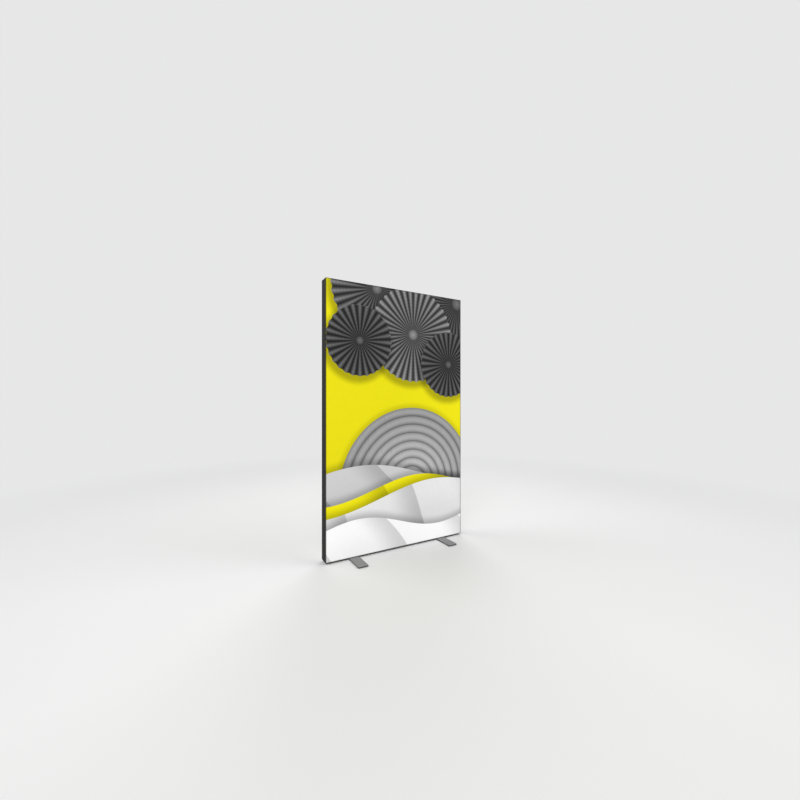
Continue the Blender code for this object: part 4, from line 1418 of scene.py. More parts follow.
@dataclass
class Prints:
    """Stretched print at each face, its edge turned into the groove, and its silicone strip."""

    face_wall: float = 0.002
    groove_end: float = 0.0053
    fold_radius: float = 0.0009
    turned_in: float = 0.0118
    cloth: float = 0.0004
    to_wall: float = 0.00005
    flat_steps: int = 40
    flat_power: float = 0.8
    fold_steps: int = 6
    turned_steps: int = 4
    past_fold_share: float = 1.01
    strip_width: float = 0.0026
    strip_corner: float = 0.0004

    def build(self) -> None:
        """Make the print and the strip of each face."""
        for face in Face:
            self.make_print(face)
            self.make_strip(face)

    def path(self, half: float) -> tuple[np.ndarray, np.ndarray, np.ndarray]:
        """Cloth from its middle line over the fold, for both sides of the middle.

        A flat run reaches to a fold radius short of the edge. Then a quarter circle turns it
        inwards, and a straight run goes into the groove.

        Args:
            half: distance from the middle to the turned-in cloth.

        Returns:
            Distance from the middle, depth below the face, and distance along the cloth.
        """
        radius = self.fold_radius
        flat = half - radius
        out = flat * np.linspace(0, 1, self.flat_steps, endpoint=False) ** self.flat_power
        angle = np.linspace(0, math.pi / 2, self.fold_steps, endpoint=False)
        down = np.linspace(0, self.turned_in, self.turned_steps)
        place = np.concatenate([out, flat + radius * np.sin(angle), half + 0 * down])
        depth = np.concatenate([0 * out, radius * (1 - np.cos(angle)), radius + down])
        cloth = np.concatenate([out, flat + radius * angle, flat + radius * math.pi / 2 + down])
        both = [np.concatenate([-part[:0:-1], part]) for part in (place, cloth)]
        return both[0], np.concatenate([depth[:0:-1], depth]), both[1]

    def make_print(self, face: Face) -> None:
        """Lay the cloth over a face as a grid of two paths, without the corners of the turned-in edge.

        The depth of a point is a + b - ab / r, with a and b the depths of its two paths within the
        fold radius r, and past the fold the deeper of the two.

        Args:
            face: the face.
        """
        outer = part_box("top_rail")[1]
        middle = middle_of(f"{face}_graphic")[2]
        inner = self.face_wall + self.to_wall
        half_width = outer.x - inner
        half_height = outer.z - inner - middle
        across, across_depth, across_cloth = self.path(half_width)
        up, up_depth, up_cloth = self.path(half_height)
        radius = self.fold_radius
        first, second = np.meshgrid(up_depth, across_depth, indexing="ij")
        near = np.minimum(first, radius), np.minimum(second, radius)
        depth = np.maximum(near[0] + near[1] - near[0] * near[1] / radius, np.maximum(first, second))
        whole = np.ones_like(depth)
        sign = face.value
        place = [whole * across * -sign, sign * (outer.y - depth), whole * up[:, None] + middle]
        points = np.stack(place, axis=-1)
        past = radius * self.past_fold_share
        corner = (up_depth > past)[:, None] & (across_depth > past)[None, :]
        grid = band_faces(len(up), len(across), False, False)
        kept = grid[~corner.reshape(-1)[grid].any(axis=1)]
        cut = (2 * across_cloth[-1], 2 * up_cloth[-1])
        mesh = bpy.data.meshes.new(f"{face}_print")
        mesh.from_pydata(points.reshape(-1, 3).tolist(), [], kept.tolist())
        flat = np.stack([whole * across_cloth / cut[0], whole * up_cloth[:, None] / cut[1]], axis=-1) + 0.5
        corners = np.zeros(len(mesh.loops), np.int32)
        mesh.loops.foreach_get("vertex_index", corners)
        places = flat.reshape(-1, 2)[corners].astype(np.float32)
        mesh.uv_layers.new(name="cut").data.foreach_set("uv", places.ravel())
        clean(mesh, MERGE, closed=False)
        finish = PrintedFabric(cut[0], cut[1], 2 * half_width, 2 * half_height)
        piece = publish(f"{face}_print", mesh, finish, stands_for=[f"{face}_graphic"])
        modify(piece, "Cloth", "SOLIDIFY", thickness=self.cloth, offset=-1)
        LOG.info("%s_print: cut %.4f by %.4f", face, *cut)

    def make_strip(self, face: Face) -> None:
        """Run the silicone strip round a face, in the groove inside the turned-in cloth.

        Each corner of the loop is a ring: the strip's section, moved out along both axes at once.

        Args:
            face: the face.
        """
        low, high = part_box(f"{face}_edge_strip")
        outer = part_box("top_rail")[1]
        inner = self.groove_end - self.strip_width
        section = softened(
            [(0, low.y), (0, high.y), (-self.strip_width, high.y), (-self.strip_width, low.y)],
            self.strip_corner,
        )
        middle = (low.z + high.z) / 2
        reach_across = outer.x - inner + section[:, 0]
        reach_up = outer.z - inner - middle + section[:, 0]
        corners = np.array([(1, 1), (-1, 1), (-1, -1), (1, -1)], float)
        through = np.broadcast_to(section[:, 1], (4, len(section)))
        place = [corners[:, :1] * reach_across, through, corners[:, 1:] * reach_up + middle]
        strip = skin(np.stack(place, axis=-1), looped=True)
        publish(f"{face}_silicone_strip", strip, Silicone(), stands_for=[f"{face}_edge_strip"])


@dataclass
class Feet:
    """Swivelling foot plates with their pads, and the bolt, washer and block that hold each."""

    edge: float = 0.0004
    washer_edge: float = 0.0001
    bolt: Fastener = Fastener(
        Drive.HEXAGON,
        drive_size=0.0065,
        drive_depth=0.003,
        head=((0.00403, 0), (0.00975, 0), (0.01, -0.00025), (0.01, -0.001), (0.005, -0.006)),
        shank=0.005,
        thread_start=0.0115,
        pitch=0.0015,
    )
    pad_corner: float = 0.006
    rib_rise: float = 0.0007
    rib_show_share: float = 0.8
    rib_width: float = 0.0024
    rib_corner: float = 0.0008
    rib_edge: float = 0.0002
    rib_margin: float = 0.003
    ribs: int = 13

    def build(self) -> None:
        """Dress the solids, and make the ribbed pads and the threaded bolts."""
        dress([f"foot_plate_{side}" for side in Side], PowderCoat(), self.edge)
        dress([f"foot_washer_{side}" for side in Side], Plated(), self.washer_edge)
        dress([f"foot_clamp_block_{side}" for side in Side], Extruded(Axis.ACROSS), self.edge)
        for side in Side:
            for face in Face:
                self.make_pad(side, face)
            self.make_bolt(side)

    def make_pad(self, side: Side, face: Face) -> None:
        """Rubber pad under a plate: a flat body with rounded edges, on ribs across the foot.

        Args:
            side: side of the wall.
            face: face of the wall that its end of the plate is at.
        """
        node = f"foot_pad_{side}_{face}"
        low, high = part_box(node)
        middle = middle_of(node)
        width, length = high.x - low.x, high.y - low.y
        outline = rectangle(width, length, self.pad_corner)
        body = bar(outline, low.z + self.rib_rise * self.rib_show_share, high.z, Axis.UP, self.edge)
        across = rectangle(width - 2 * self.rib_margin, self.rib_width, self.rib_corner)
        rib = bar(across, low.z, low.z + self.rib_rise, Axis.UP, self.rib_edge)
        reach = length / 2 - self.rib_margin - self.rib_width / 2
        ribs = [rib.moved(0, place) for place in np.linspace(-reach, reach, self.ribs)]
        pad = together([body, *ribs]).moved(middle[0], middle[1])
        publish(f"ribbed_foot_pad_{side}_{face}", pad, Rubber(), f"foot_{side}", [node])

    def make_bolt(self, side: Side) -> None:
        """Countersunk bolt with a hexagon key and a thread, its head down.

        Args:
            side: side of the wall.
        """
        node = f"foot_bolt_{side}"
        low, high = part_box(node)
        middle = middle_of(node)
        bolt = self.bolt.shape(high.z - low.z).swapped((0, 1, 2), (1, 1, -1))
        placed = bolt.moved(middle[0], middle[1], low.z)
        publish(f"threaded_{node}", placed, Plated(), stands_for=[node])


@dataclass
class Joinery:
    """Corner brackets, splice bars, lock knobs, and the cross bar with its brackets."""

    edge: float = 0.0004
    tip: float = -0.016
    shaft: float = 0.0035
    lead_in: float = 0.0015
    gap: float = 0.0003
    hub: float = 0.008
    hub_height: float = 0.004
    hub_edge: float = 0.0007
    hub_round_share: float = 0.3
    wing_knots: tuple[tuple[float, float, float, float], ...] = (
        (0, 0.0022, 0.0102, 0.0055), (0.0045, 0.0023, 0.0106, 0.0055), (0.0098, 0.003, 0.0124, 0.0055),
        (0.0128, 0.0058, 0.013, 0.0054), (0.0143, 0.0079, 0.0125, 0.0045), (0.0149, 0.0091, 0.0115, 0.0029),
        (0.015, 0.0098, 0.0107, 0.0012),
    )
    wing_steps: int = 5
    wing_square: float = 4.6
    plate: float = 0.003
    screw: Fastener = pan_screw(
        0.0029, (0.0003, 0.001, 0.0019, 0.00195), 0.002,
        drive_depth=0.001, shank=0.0019, thread_start=0.0022, pitch=0.0007,
    )
    screw_length: float = 0.0045
    screw_lift: float = 0.0019
    screw_from_middle: float = 0.0145

    def build(self) -> None:
        """Dress the solids, and make the knobs and the screws of the cross bar's brackets."""
        cast = [f"corner_bracket_{end}_{side}" for end in ("bottom", "top") for side in Side]
        cast += [f"{kind}_{side}" for kind in ("splice_bar", "cross_bar_bracket") for side in Side]
        dress(cast, Cast(), self.edge)
        dress(["cross_bar"], Extruded(Axis.ACROSS), self.edge)
        for side in Side:
            for place in ("bottom", "top", "splice"):
                self.make_knob(f"{place}_{side}", side)
            self.make_screws(side)

    def make_knob(self, place: str, side: Side) -> None:
        """Turn the stem, loft the wing along its length, and set both in the slot.

        The knots give the wing's place along, bottom, top and width from its middle to one end.

        Args:
            place: which knob.
            side: side that it is on.
        """
        soft, back = self.hub_edge, self.hub - self.hub_edge
        rounded = soft * self.hub_round_share
        stem = turned([
            (self.shaft - self.lead_in / 2, self.tip),
            (self.shaft, self.tip + self.lead_in / 2),
            (self.shaft, self.gap),
            (back, self.gap),
            (self.hub, self.gap + soft),
            (self.hub, self.hub_height - soft),
            (self.hub - rounded, self.hub_height - rounded),
            (back, self.hub_height),
        ])
        half = eased(self.wing_knots, self.wing_steps)
        along, bottom, top, width = np.concatenate([half[:0:-1] * (-1, 1, 1, 1), half]).T
        rounds = [squircle(wide, tall, self.wing_square) for wide, tall in zip(width, top - bottom)]
        middles = [(0, height) for height in (bottom + top) / 2]
        wing = skin(loft([ring + middle for ring, middle in zip(rounds, middles)], along, Axis.ACROSS))
        node = f"lock_knob_{place}"
        slot = face_across(node, side, outward=True) + side.value * self.tip
        knob = on_upright(together([stem, wing]), side).moved(slot, 0, middle_of(node)[2])
        publish(f"wing_knob_{place}", knob, Moulded(), f"knob_{place}", [node])

    def make_screws(self, side: Side) -> None:
        """Two pan-head screws through a cross bar bracket's plate, above and below the bar.

        Args:
            side: side of the wall.
        """
        lift = self.gap + self.plate + self.screw_lift
        face = face_across(f"{side}_upright_lower", side) - side.value * lift
        height = middle_of(f"cross_bar_bracket_{side}")[2]
        screw = on_upright(self.screw.shape(self.screw_length), side)
        reach = self.screw_from_middle
        screws = together(screw.moved(face, 0, height + step) for step in (-reach, reach))
        publish(f"cross_bar_screws_{side}", screws, Plated())


@dataclass
class Lights:
    """Light rail on each half of each upright, with a board of lamps under clear lenses."""

    edge: float = 0.0003
    lamps: int = 12
    board_thickness: float = 0.0016
    board_width: float = 0.012
    board_corner: float = 0.0006
    board_edge: float = 0.00015
    chip: Block = Block(0.003, 0.003, 0.0003, 0, 0.0007, 0.0001)
    peg_radius: float = 0.0009
    peg_sides: int = 12
    peg_across: float = 0.0055
    peg_through: float = 0.0036
    lens_gap: float = 0.0008
    lens_power: float = 3.2
    lens_rings: tuple[Place, ...] = (
        (0.0004, 0.0004, 0.0008), (0.0152, 0.0108, 0.0008), (0.0158, 0.0114, 0.0012),
        (0.0156, 0.0113, 0.0022), (0.0144, 0.0109, 0.0038), (0.0122, 0.0101, 0.0052),
        (0.0094, 0.0086, 0.0059), (0.0062, 0.0064, 0.0060), (0.0034, 0.0040, 0.0054),
        (0.0012, 0.0016, 0.0046), (0.0001, 0.0001, 0.0044),
    )
    plug_length: float = 0.012
    plug_colour: Colour = (0.72, 0.72, 0.7)
    housing: Block = Block(0.0114, 0.0114, 0.0006, 0, 0.0069, 0.0004)
    latch: Block = Block(0.005, 0.003, 0.0004, 0.0064, 0.0074, 0.0003)
    latch_offset: float = 0.002
    rib: Block = Block(0.0056, 0.0008, 0.0002, 0.0012, 0.0062, 0.0002)
    rib_through: float = 0.0056
    screw: Fastener = pan_screw(
        0.0015, (0.0002, 0.0006, 0.0011, 0.00112), 0.0009,
        drive_depth=0.0006, shank=0.0009, thread_start=0.0013, pitch=0.0005, sides=24,
    )
    screw_length: float = 0.003
    screw_lift: float = 0.0011
    screw_through: float = 0.0081
    screw_from_end: float = 0.012

    def build(self) -> None:
        """Dress the rails and furnish each board."""
        for side in Side:
            for half in Half:
                dress([f"light_rail_{side}_{half}"], Extruded(Axis.UP), self.edge)
                self.make_board(side, half)
                self.make_screws(side, half)

    def make_board(self, side: Side, half: Half) -> None:
        """Board, chips, lenses and plugs about Z, laid along X and set on their rail.

        Args:
            side: side of the wall.
            half: half of its upright.
        """
        node = f"lens_board_{side}_{half}"
        low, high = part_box(node)
        middle = middle_of(node)[2]
        length, top = high.z - low.z, self.board_thickness
        pitch = (length - 2 * self.plug_length) / self.lamps
        stations = pitch * (np.arange(self.lamps) - (self.lamps - 1) / 2)
        board = Block(length, self.board_width, self.board_corner, 0, top, self.board_edge).shape()
        peg = turned([(self.peg_radius, 0), (self.peg_radius, self.lens_gap)], self.peg_sides)
        pegs = together(
            peg.moved(across, through)
            for across in (-self.peg_across, self.peg_across)
            for through in (-self.peg_through, self.peg_through)
        )
        stems, chips, lenses = (
            together(shape.moved(station, 0, top) for station in stations)
            for shape in (pegs, self.chip.shape(), self.lens_shape())
        )
        reach = (length - self.plug_length) / 2
        plugs = together(self.plug_shape(end).moved(end * reach, 0, top) for end in (-1, 1))
        solder = CircuitBoard(middle + stations[0], pitch, f"white circuit board {side}_{half}")
        parts = {
            "lamp_board": (together([board, stems]), solder),
            "lamp_chips": (chips, Phosphor()),
            "lamp_lenses": (lenses, Clear()),
            "board_plugs": (plugs, Moulded("white moulded plastic", self.plug_colour)),
        }
        base = face_across(node, side, outward=True)
        for part, (shape, finish) in parts.items():
            placed = on_upright(shape, side).moved(base, 0, middle)
            publish(f"{part}_{side}_{half}", placed, finish, stands_for=[node])

    def lens_shape(self) -> Shape:
        """Wide-angle lens: squircles that shrink upwards and dip in the middle."""
        outlines = [squircle(length, width, self.lens_power) for length, width, _ in self.lens_rings]
        return skin(loft(outlines, [height for *_, height in self.lens_rings], Axis.UP))

    def plug_shape(self, end: int) -> Shape:
        """Plug about Z: a housing with a keying rib on each flank, and a latch off its middle.

        Args:
            end: -1 or 1, for the end of the board that it is on.

        Returns:
            The plug.
        """
        latch = self.latch.shape().moved(-end * self.latch_offset)
        ribs = [self.rib.shape().moved(0, flank * self.rib_through) for flank in (-1, 1)]
        return together([self.housing.shape(), latch, *ribs])

    def make_screws(self, side: Side, half: Half) -> None:
        """Four small screws that clamp a rail's foot in the slot, beside the ends of its board.

        Args:
            side: side of the wall.
            half: half of its upright.
        """
        node = f"light_rail_{side}_{half}"
        low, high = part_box(node)
        face = face_across(node, side) - side.value * self.screw_lift
        screw = on_upright(self.screw.shape(self.screw_length), side)
        screws = together(
            screw.moved(face, through, height)
            for through in (-self.screw_through, self.screw_through)
            for height in (low.z + self.screw_from_end, high.z - self.screw_from_end)
        )
        publish(f"light_rail_screws_{side}_{half}", screws, Plated())


@dataclass
class Supply:
    """Ribbed power supply on its folded tray, with its cap screws and gland nuts."""

    edge: float = 0.0003
    colour: Colour = (0.03, 0.03, 0.031)
    roughness: float = 0.45
    gland_length: float = 0.008
    nut_radius: float = 0.0078
    nut_length: float = 0.0045
    nut_gap: float = 0.0003
    nut_chamfer: float = 0.0006
    nut_face_share: float = 0.9
    nut_sides: int = 48
    screw: Fastener = pan_screw(
        0.0022, (0.0002, 0.0007, 0.0012, 0.00122), 0.0012,
        drive_depth=0.0007, shank=0.0012, thread_start=0.0014, pitch=0.0005, sides=32,
    )
    screw_length: float = 0.004
    screw_lift: float = 0.0012
    screw_through: float = 0.0165
    screw_up: float = 0.0095

    def build(self) -> None:
        """Dress the case and the tray, and add what is fastened to each end cap."""
        case = Extruded(Axis.ACROSS, self.colour, self.roughness, title="black anodised case")
        dress(["power_supply"], case, self.edge)
        dress(["power_supply_tray"], Extruded(Axis.ACROSS, title="folded aluminium sheet"), self.edge)
        low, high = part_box("power_supply")
        middle = middle_of("power_supply")[2]
        screw = self.screw.shape(self.screw_length)
        nuts = []
        screws = []
        for end, place in ((-1, low.x), (1, high.x)):
            cap = place - end * self.gland_length
            face = cap + end * self.screw_lift
            nuts.append(self.nut(end).moved(cap, 0, middle))
            screws += [
                screw.swapped((2, 0, 1), (end, 1, 1)).moved(face, through, middle + up)
                for through in (-self.screw_through, self.screw_through)
                for up in (-self.screw_up, self.screw_up)
            ]
        publish("gland_nuts", together(nuts), Moulded())
        publish("supply_cap_screws", together(screws), Plated())

    def nut(self, end: int) -> Shape:
        """Hexagon nut along X from zero: its flats in the middle, rounded off at both faces.

        Args:
            end: -1 or 1, for the cap that it stands on.

        Returns:
            The nut.
        """
        angle, circle = spokes(self.nut_sides)
        flats = Drive.HEXAGON.reach(angle, self.nut_radius * math.sqrt(3))
        face = np.minimum(flats, self.nut_radius * self.nut_face_share)
        outlines = [reach[:, None] * circle for reach in (face, flats, flats, face)]
        near, far = self.nut_gap, self.nut_length
        places = np.array([near, near + self.nut_chamfer, far - self.nut_chamfer, far])
        return skin(loft(outlines, end * places, Axis.ACROSS))


@dataclass
class Inlet:
    """Mains inlet module: housing, contacts, screws, rocker switch and fuse drawer."""

    edge: float = 0.00025
    rim_width: float = 0.0011
    rim_height: float = 0.0006
    rim_sunk: float = 0.0001
    rim_gap: float = 0.0002
    rim_points: int = 7
    socket: tuple[Pair, ...] = (
        (-0.0122, 0.0082), (-0.0122, -0.0042), (-0.0082, -0.0082),
        (0.0082, -0.0082), (0.0122, -0.0042), (0.0122, 0.0082),
    )
    socket_corner: float = 0.0006
    socket_drop: float = 0.001
    well: Pair = (0.0216, 0.013)
    well_rise: float = 0.018
    chute_gap: float = 0.0003
    chute_drop: float = 0.019
    opening_corner: float = 0.0004
    carrier_corner: float = 0.0004
    carrier_gap: float = 0.0003
    carrier_depths: Pair = (0.0157, 0.0137)
    carrier_edge: float = 0.0002
    blade: Pair = (0.002, 0.004)
    blade_corner: float = 0.0003
    blade_depths: Pair = (0.0145, 0.0057)
    blade_tip: tuple[Pair, ...] = ((0, 0.0012), (0.0003, 0.0003), (0.0006, 0))
    blade_spacing: float = 0.014
    earth_offset: float = 0.0035
    screw: Fastener = Fastener(
        Drive.CROSS,
        drive_size=0.0032,
        drive_depth=0.0009,
        head=((0.0019, 0), (0.00265, 0), (0.00275, -0.0001), (0.0015, -0.0014)),
        shank=0.0015,
        thread_start=0.0016,
        pitch=0.0005,
    )
    swing: float = math.radians(10)
    dip: float = 0.00035
    rocker_points: int = 10
    rocker_corner: float = 0.0004
    rocker_corner_points: int = 3
    rocker_edge: float = 0.0004
    skirt: float = 0.007
    stroke: Block = Block(0.0008, 0.0042, 0.0003, -0.0001, 0.0001)
    ring: tuple[Pair, ...] = ((0.0022, -0.0001), (0.0022, 0.0001), (0.0014, 0.0001), (0.0014, -0.0001))
    ring_sides: int = 32
    mark_share: float = 0.5
    mark_sunk: float = 0.00033
    mark_colour: Colour = (0.75, 0.75, 0.75)
    glass_gap: float = 0.0004
    glass_shares: Pair = (0.92, 0.7)
    glass_refraction: float = 1.5
    cap_length: float = 0.005
    cap_wall: float = 0.0003
    cap_bore_share: float = 0.94
    wire_radius: float = 0.00015
    wire_sides: int = 12

    @property
    def face(self) -> float:
        """Place across of the housing's outer face."""
        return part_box("inlet_housing")[1].x

    @property
    def centre(self) -> float:
        """Height of the housing's middle."""
        return middle_of("inlet_housing")[2]

    def build(self) -> None:
        """Dress the housing and the drawer, and make what is seen in the window."""
        dress(["inlet_housing", "fuse_drawer"], Moulded(), self.edge)
        self.make_rims()
        self.make_contacts()
        self.make_screws()
        self.make_rocker()
        self.make_fuse()

    def rim(self, outline: np.ndarray, up: float) -> Shape:
        """Half-round rim about an opening: a small arch of a section carried round its outline.

        Args:
            outline: outline of the opening, across and up.
            up: place of the opening from the inlet's centre.

        Returns:
            The rim.
        """
        angle = np.linspace(0, math.pi, self.rim_points)
        outs = self.rim_gap + self.rim_width * (1 - np.cos(angle)) / 2
        lifts = self.rim_height * np.sin(angle) - self.rim_sunk
        rings = loft([inset(outline, -out) for out in outs], self.face + lifts, Axis.ACROSS)
        return skin(rings, looped=True).moved(0, 0, self.centre + up)

    def make_rims(self) -> None:
        """Rims round the socket, the rocker's well and the drawer's chute."""
        low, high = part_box("fuse_drawer")
        chute = (size + 2 * self.chute_gap for size in (high.y - low.y, high.z - low.z))
        rims = [
            self.rim(softened(self.socket, self.socket_corner), -self.socket_drop),
            self.rim(rectangle(*self.well, self.opening_corner), self.well_rise),
            self.rim(rectangle(*chute, self.opening_corner), -self.chute_drop),
        ]
        publish("inlet_rims", together(rims), Moulded())

    def make_contacts(self) -> None:
        """Carrier in the bottom of the socket, and three blades with narrowed tips."""
        node = "inlet_contacts"
        height = self.centre - self.socket_drop
        outline = inset(softened(self.socket, self.carrier_corner), self.carrier_gap)
        back, front = (self.face - depth for depth in self.carrier_depths)
        carrier = bar(outline, back, front, Axis.ACROSS, self.carrier_edge).moved(0, 0, height)
        root = rectangle(*self.blade, self.blade_corner)
        back, front = (self.face - depth for depth in self.blade_depths)
        outlines = [root, *(inset(root, drawn_in) for drawn_in, _ in self.blade_tip)]
        blade = skin(loft(outlines, [back, *(front - short for _, short in self.blade_tip)], Axis.ACROSS))
        places = ((-self.blade_spacing / 2, 0), (0, self.earth_offset), (self.blade_spacing / 2, 0))
        blades = together(blade.moved(0, across, height + up) for across, up in places)
        publish("contact_carrier", carrier, Moulded(), stands_for=[node])
        publish("contact_blades", blades, Plated(), stands_for=[node])

    def make_screws(self) -> None:
        """Two countersunk screws with a cross recess and a thread."""
        for end in ("upper", "lower"):
            node = f"inlet_screw_{end}"
            low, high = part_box(node)
            middle = middle_of(node)
            screw = self.screw.shape(high.x - low.x).swapped((2, 0, 1))
            placed = screw.moved(high.x, middle[1], middle[2])
            publish(f"cross_head_screw_{end}", placed, Plated(), stands_for=[node])

    def make_rocker(self) -> None:
        """Rocker with a hollow in each half, and a bar and a ring on its two halves.

        Across a half at a share t, the face stands back by the dip times sin(pi t), and the raised
        half climbs at the swing's angle.
        """
        low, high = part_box("rocker_switch")
        half = (high.y - low.y) / 2
        slope = math.tan(self.swing)
        face = high.x - half * slope
        share = np.linspace(0, 1, self.rocker_points)
        hollow = face - self.dip * np.sin(math.pi * share)
        pressed = np.stack([hollow, half * (share - 1)], axis=-1)
        raised = np.stack([hollow + half * share * slope, half * share], axis=-1)[1:]
        skirt = [(low.x, self.skirt), (low.x, -self.skirt)]
        corners = np.concatenate([pressed, raised, skirt])
        outline = softened(corners, self.rocker_corner, self.rocker_corner_points)
        rocker = bar(outline, low.z, high.z, Axis.UP, self.rocker_edge)
        publish("rocker_cap", rocker, Moulded(), "rocker", ["rocker_switch"])
        at = half * self.mark_share
        ring = turned(self.ring, self.ring_sides, looped=True)
        marks = []
        for mark, place, lean in ((self.stroke.shape(), -at, 0.0), (ring, at, slope)):
            laid = mark.swapped((2, 0, 1))
            laid.points[:, 0] += laid.points[:, 1] * lean
            marks.append(laid.moved(face - self.mark_sunk + place * lean, place, (low.z + high.z) / 2))
        white = Moulded("white inlaid plastic", self.mark_colour)
        publish("rocker_marks", together(marks), white, "rocker", ["rocker_switch"])

    def make_fuse(self) -> None:
        """Glass tube, two caps and the wire of the fuse, turned about an axis through the wall."""
        low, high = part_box("fuse")
        half = (high.y - low.y) / 2
        radius = (high.x - low.x) / 2
        end = half - self.glass_gap
        outer, inner = (radius * share for share in self.glass_shares)
        glass = turned([(outer, -end), (outer, end), (inner, end), (inner, -end)], looped=True)
        inside = half - self.cap_wall
        rim = half - self.cap_length
        bore = radius * self.cap_bore_share
        cup = [(0, half), (radius - self.cap_wall, half), (radius, inside), (radius, rim)]
        cup += [(bore, rim), (bore, inside), (0, inside)]
        caps = together(turned([(across, sign * along) for across, along in cup]) for sign in (1, -1))
        wire = turned([(self.wire_radius, -inside), (self.wire_radius, inside)], self.wire_sides)
        parts = {
            "fuse_tube": (glass, Clear("fuse glass", refraction=self.glass_refraction)),
            "fuse_caps": (caps, Plated()),
            "fuse_wire": (wire, Plated()),
        }
        for name, (shape, finish) in parts.items():
            placed = shape.swapped((0, 2, 1)).moved(*middle_of("fuse"))
            publish(name, placed, finish, "drawer", ["fuse"])


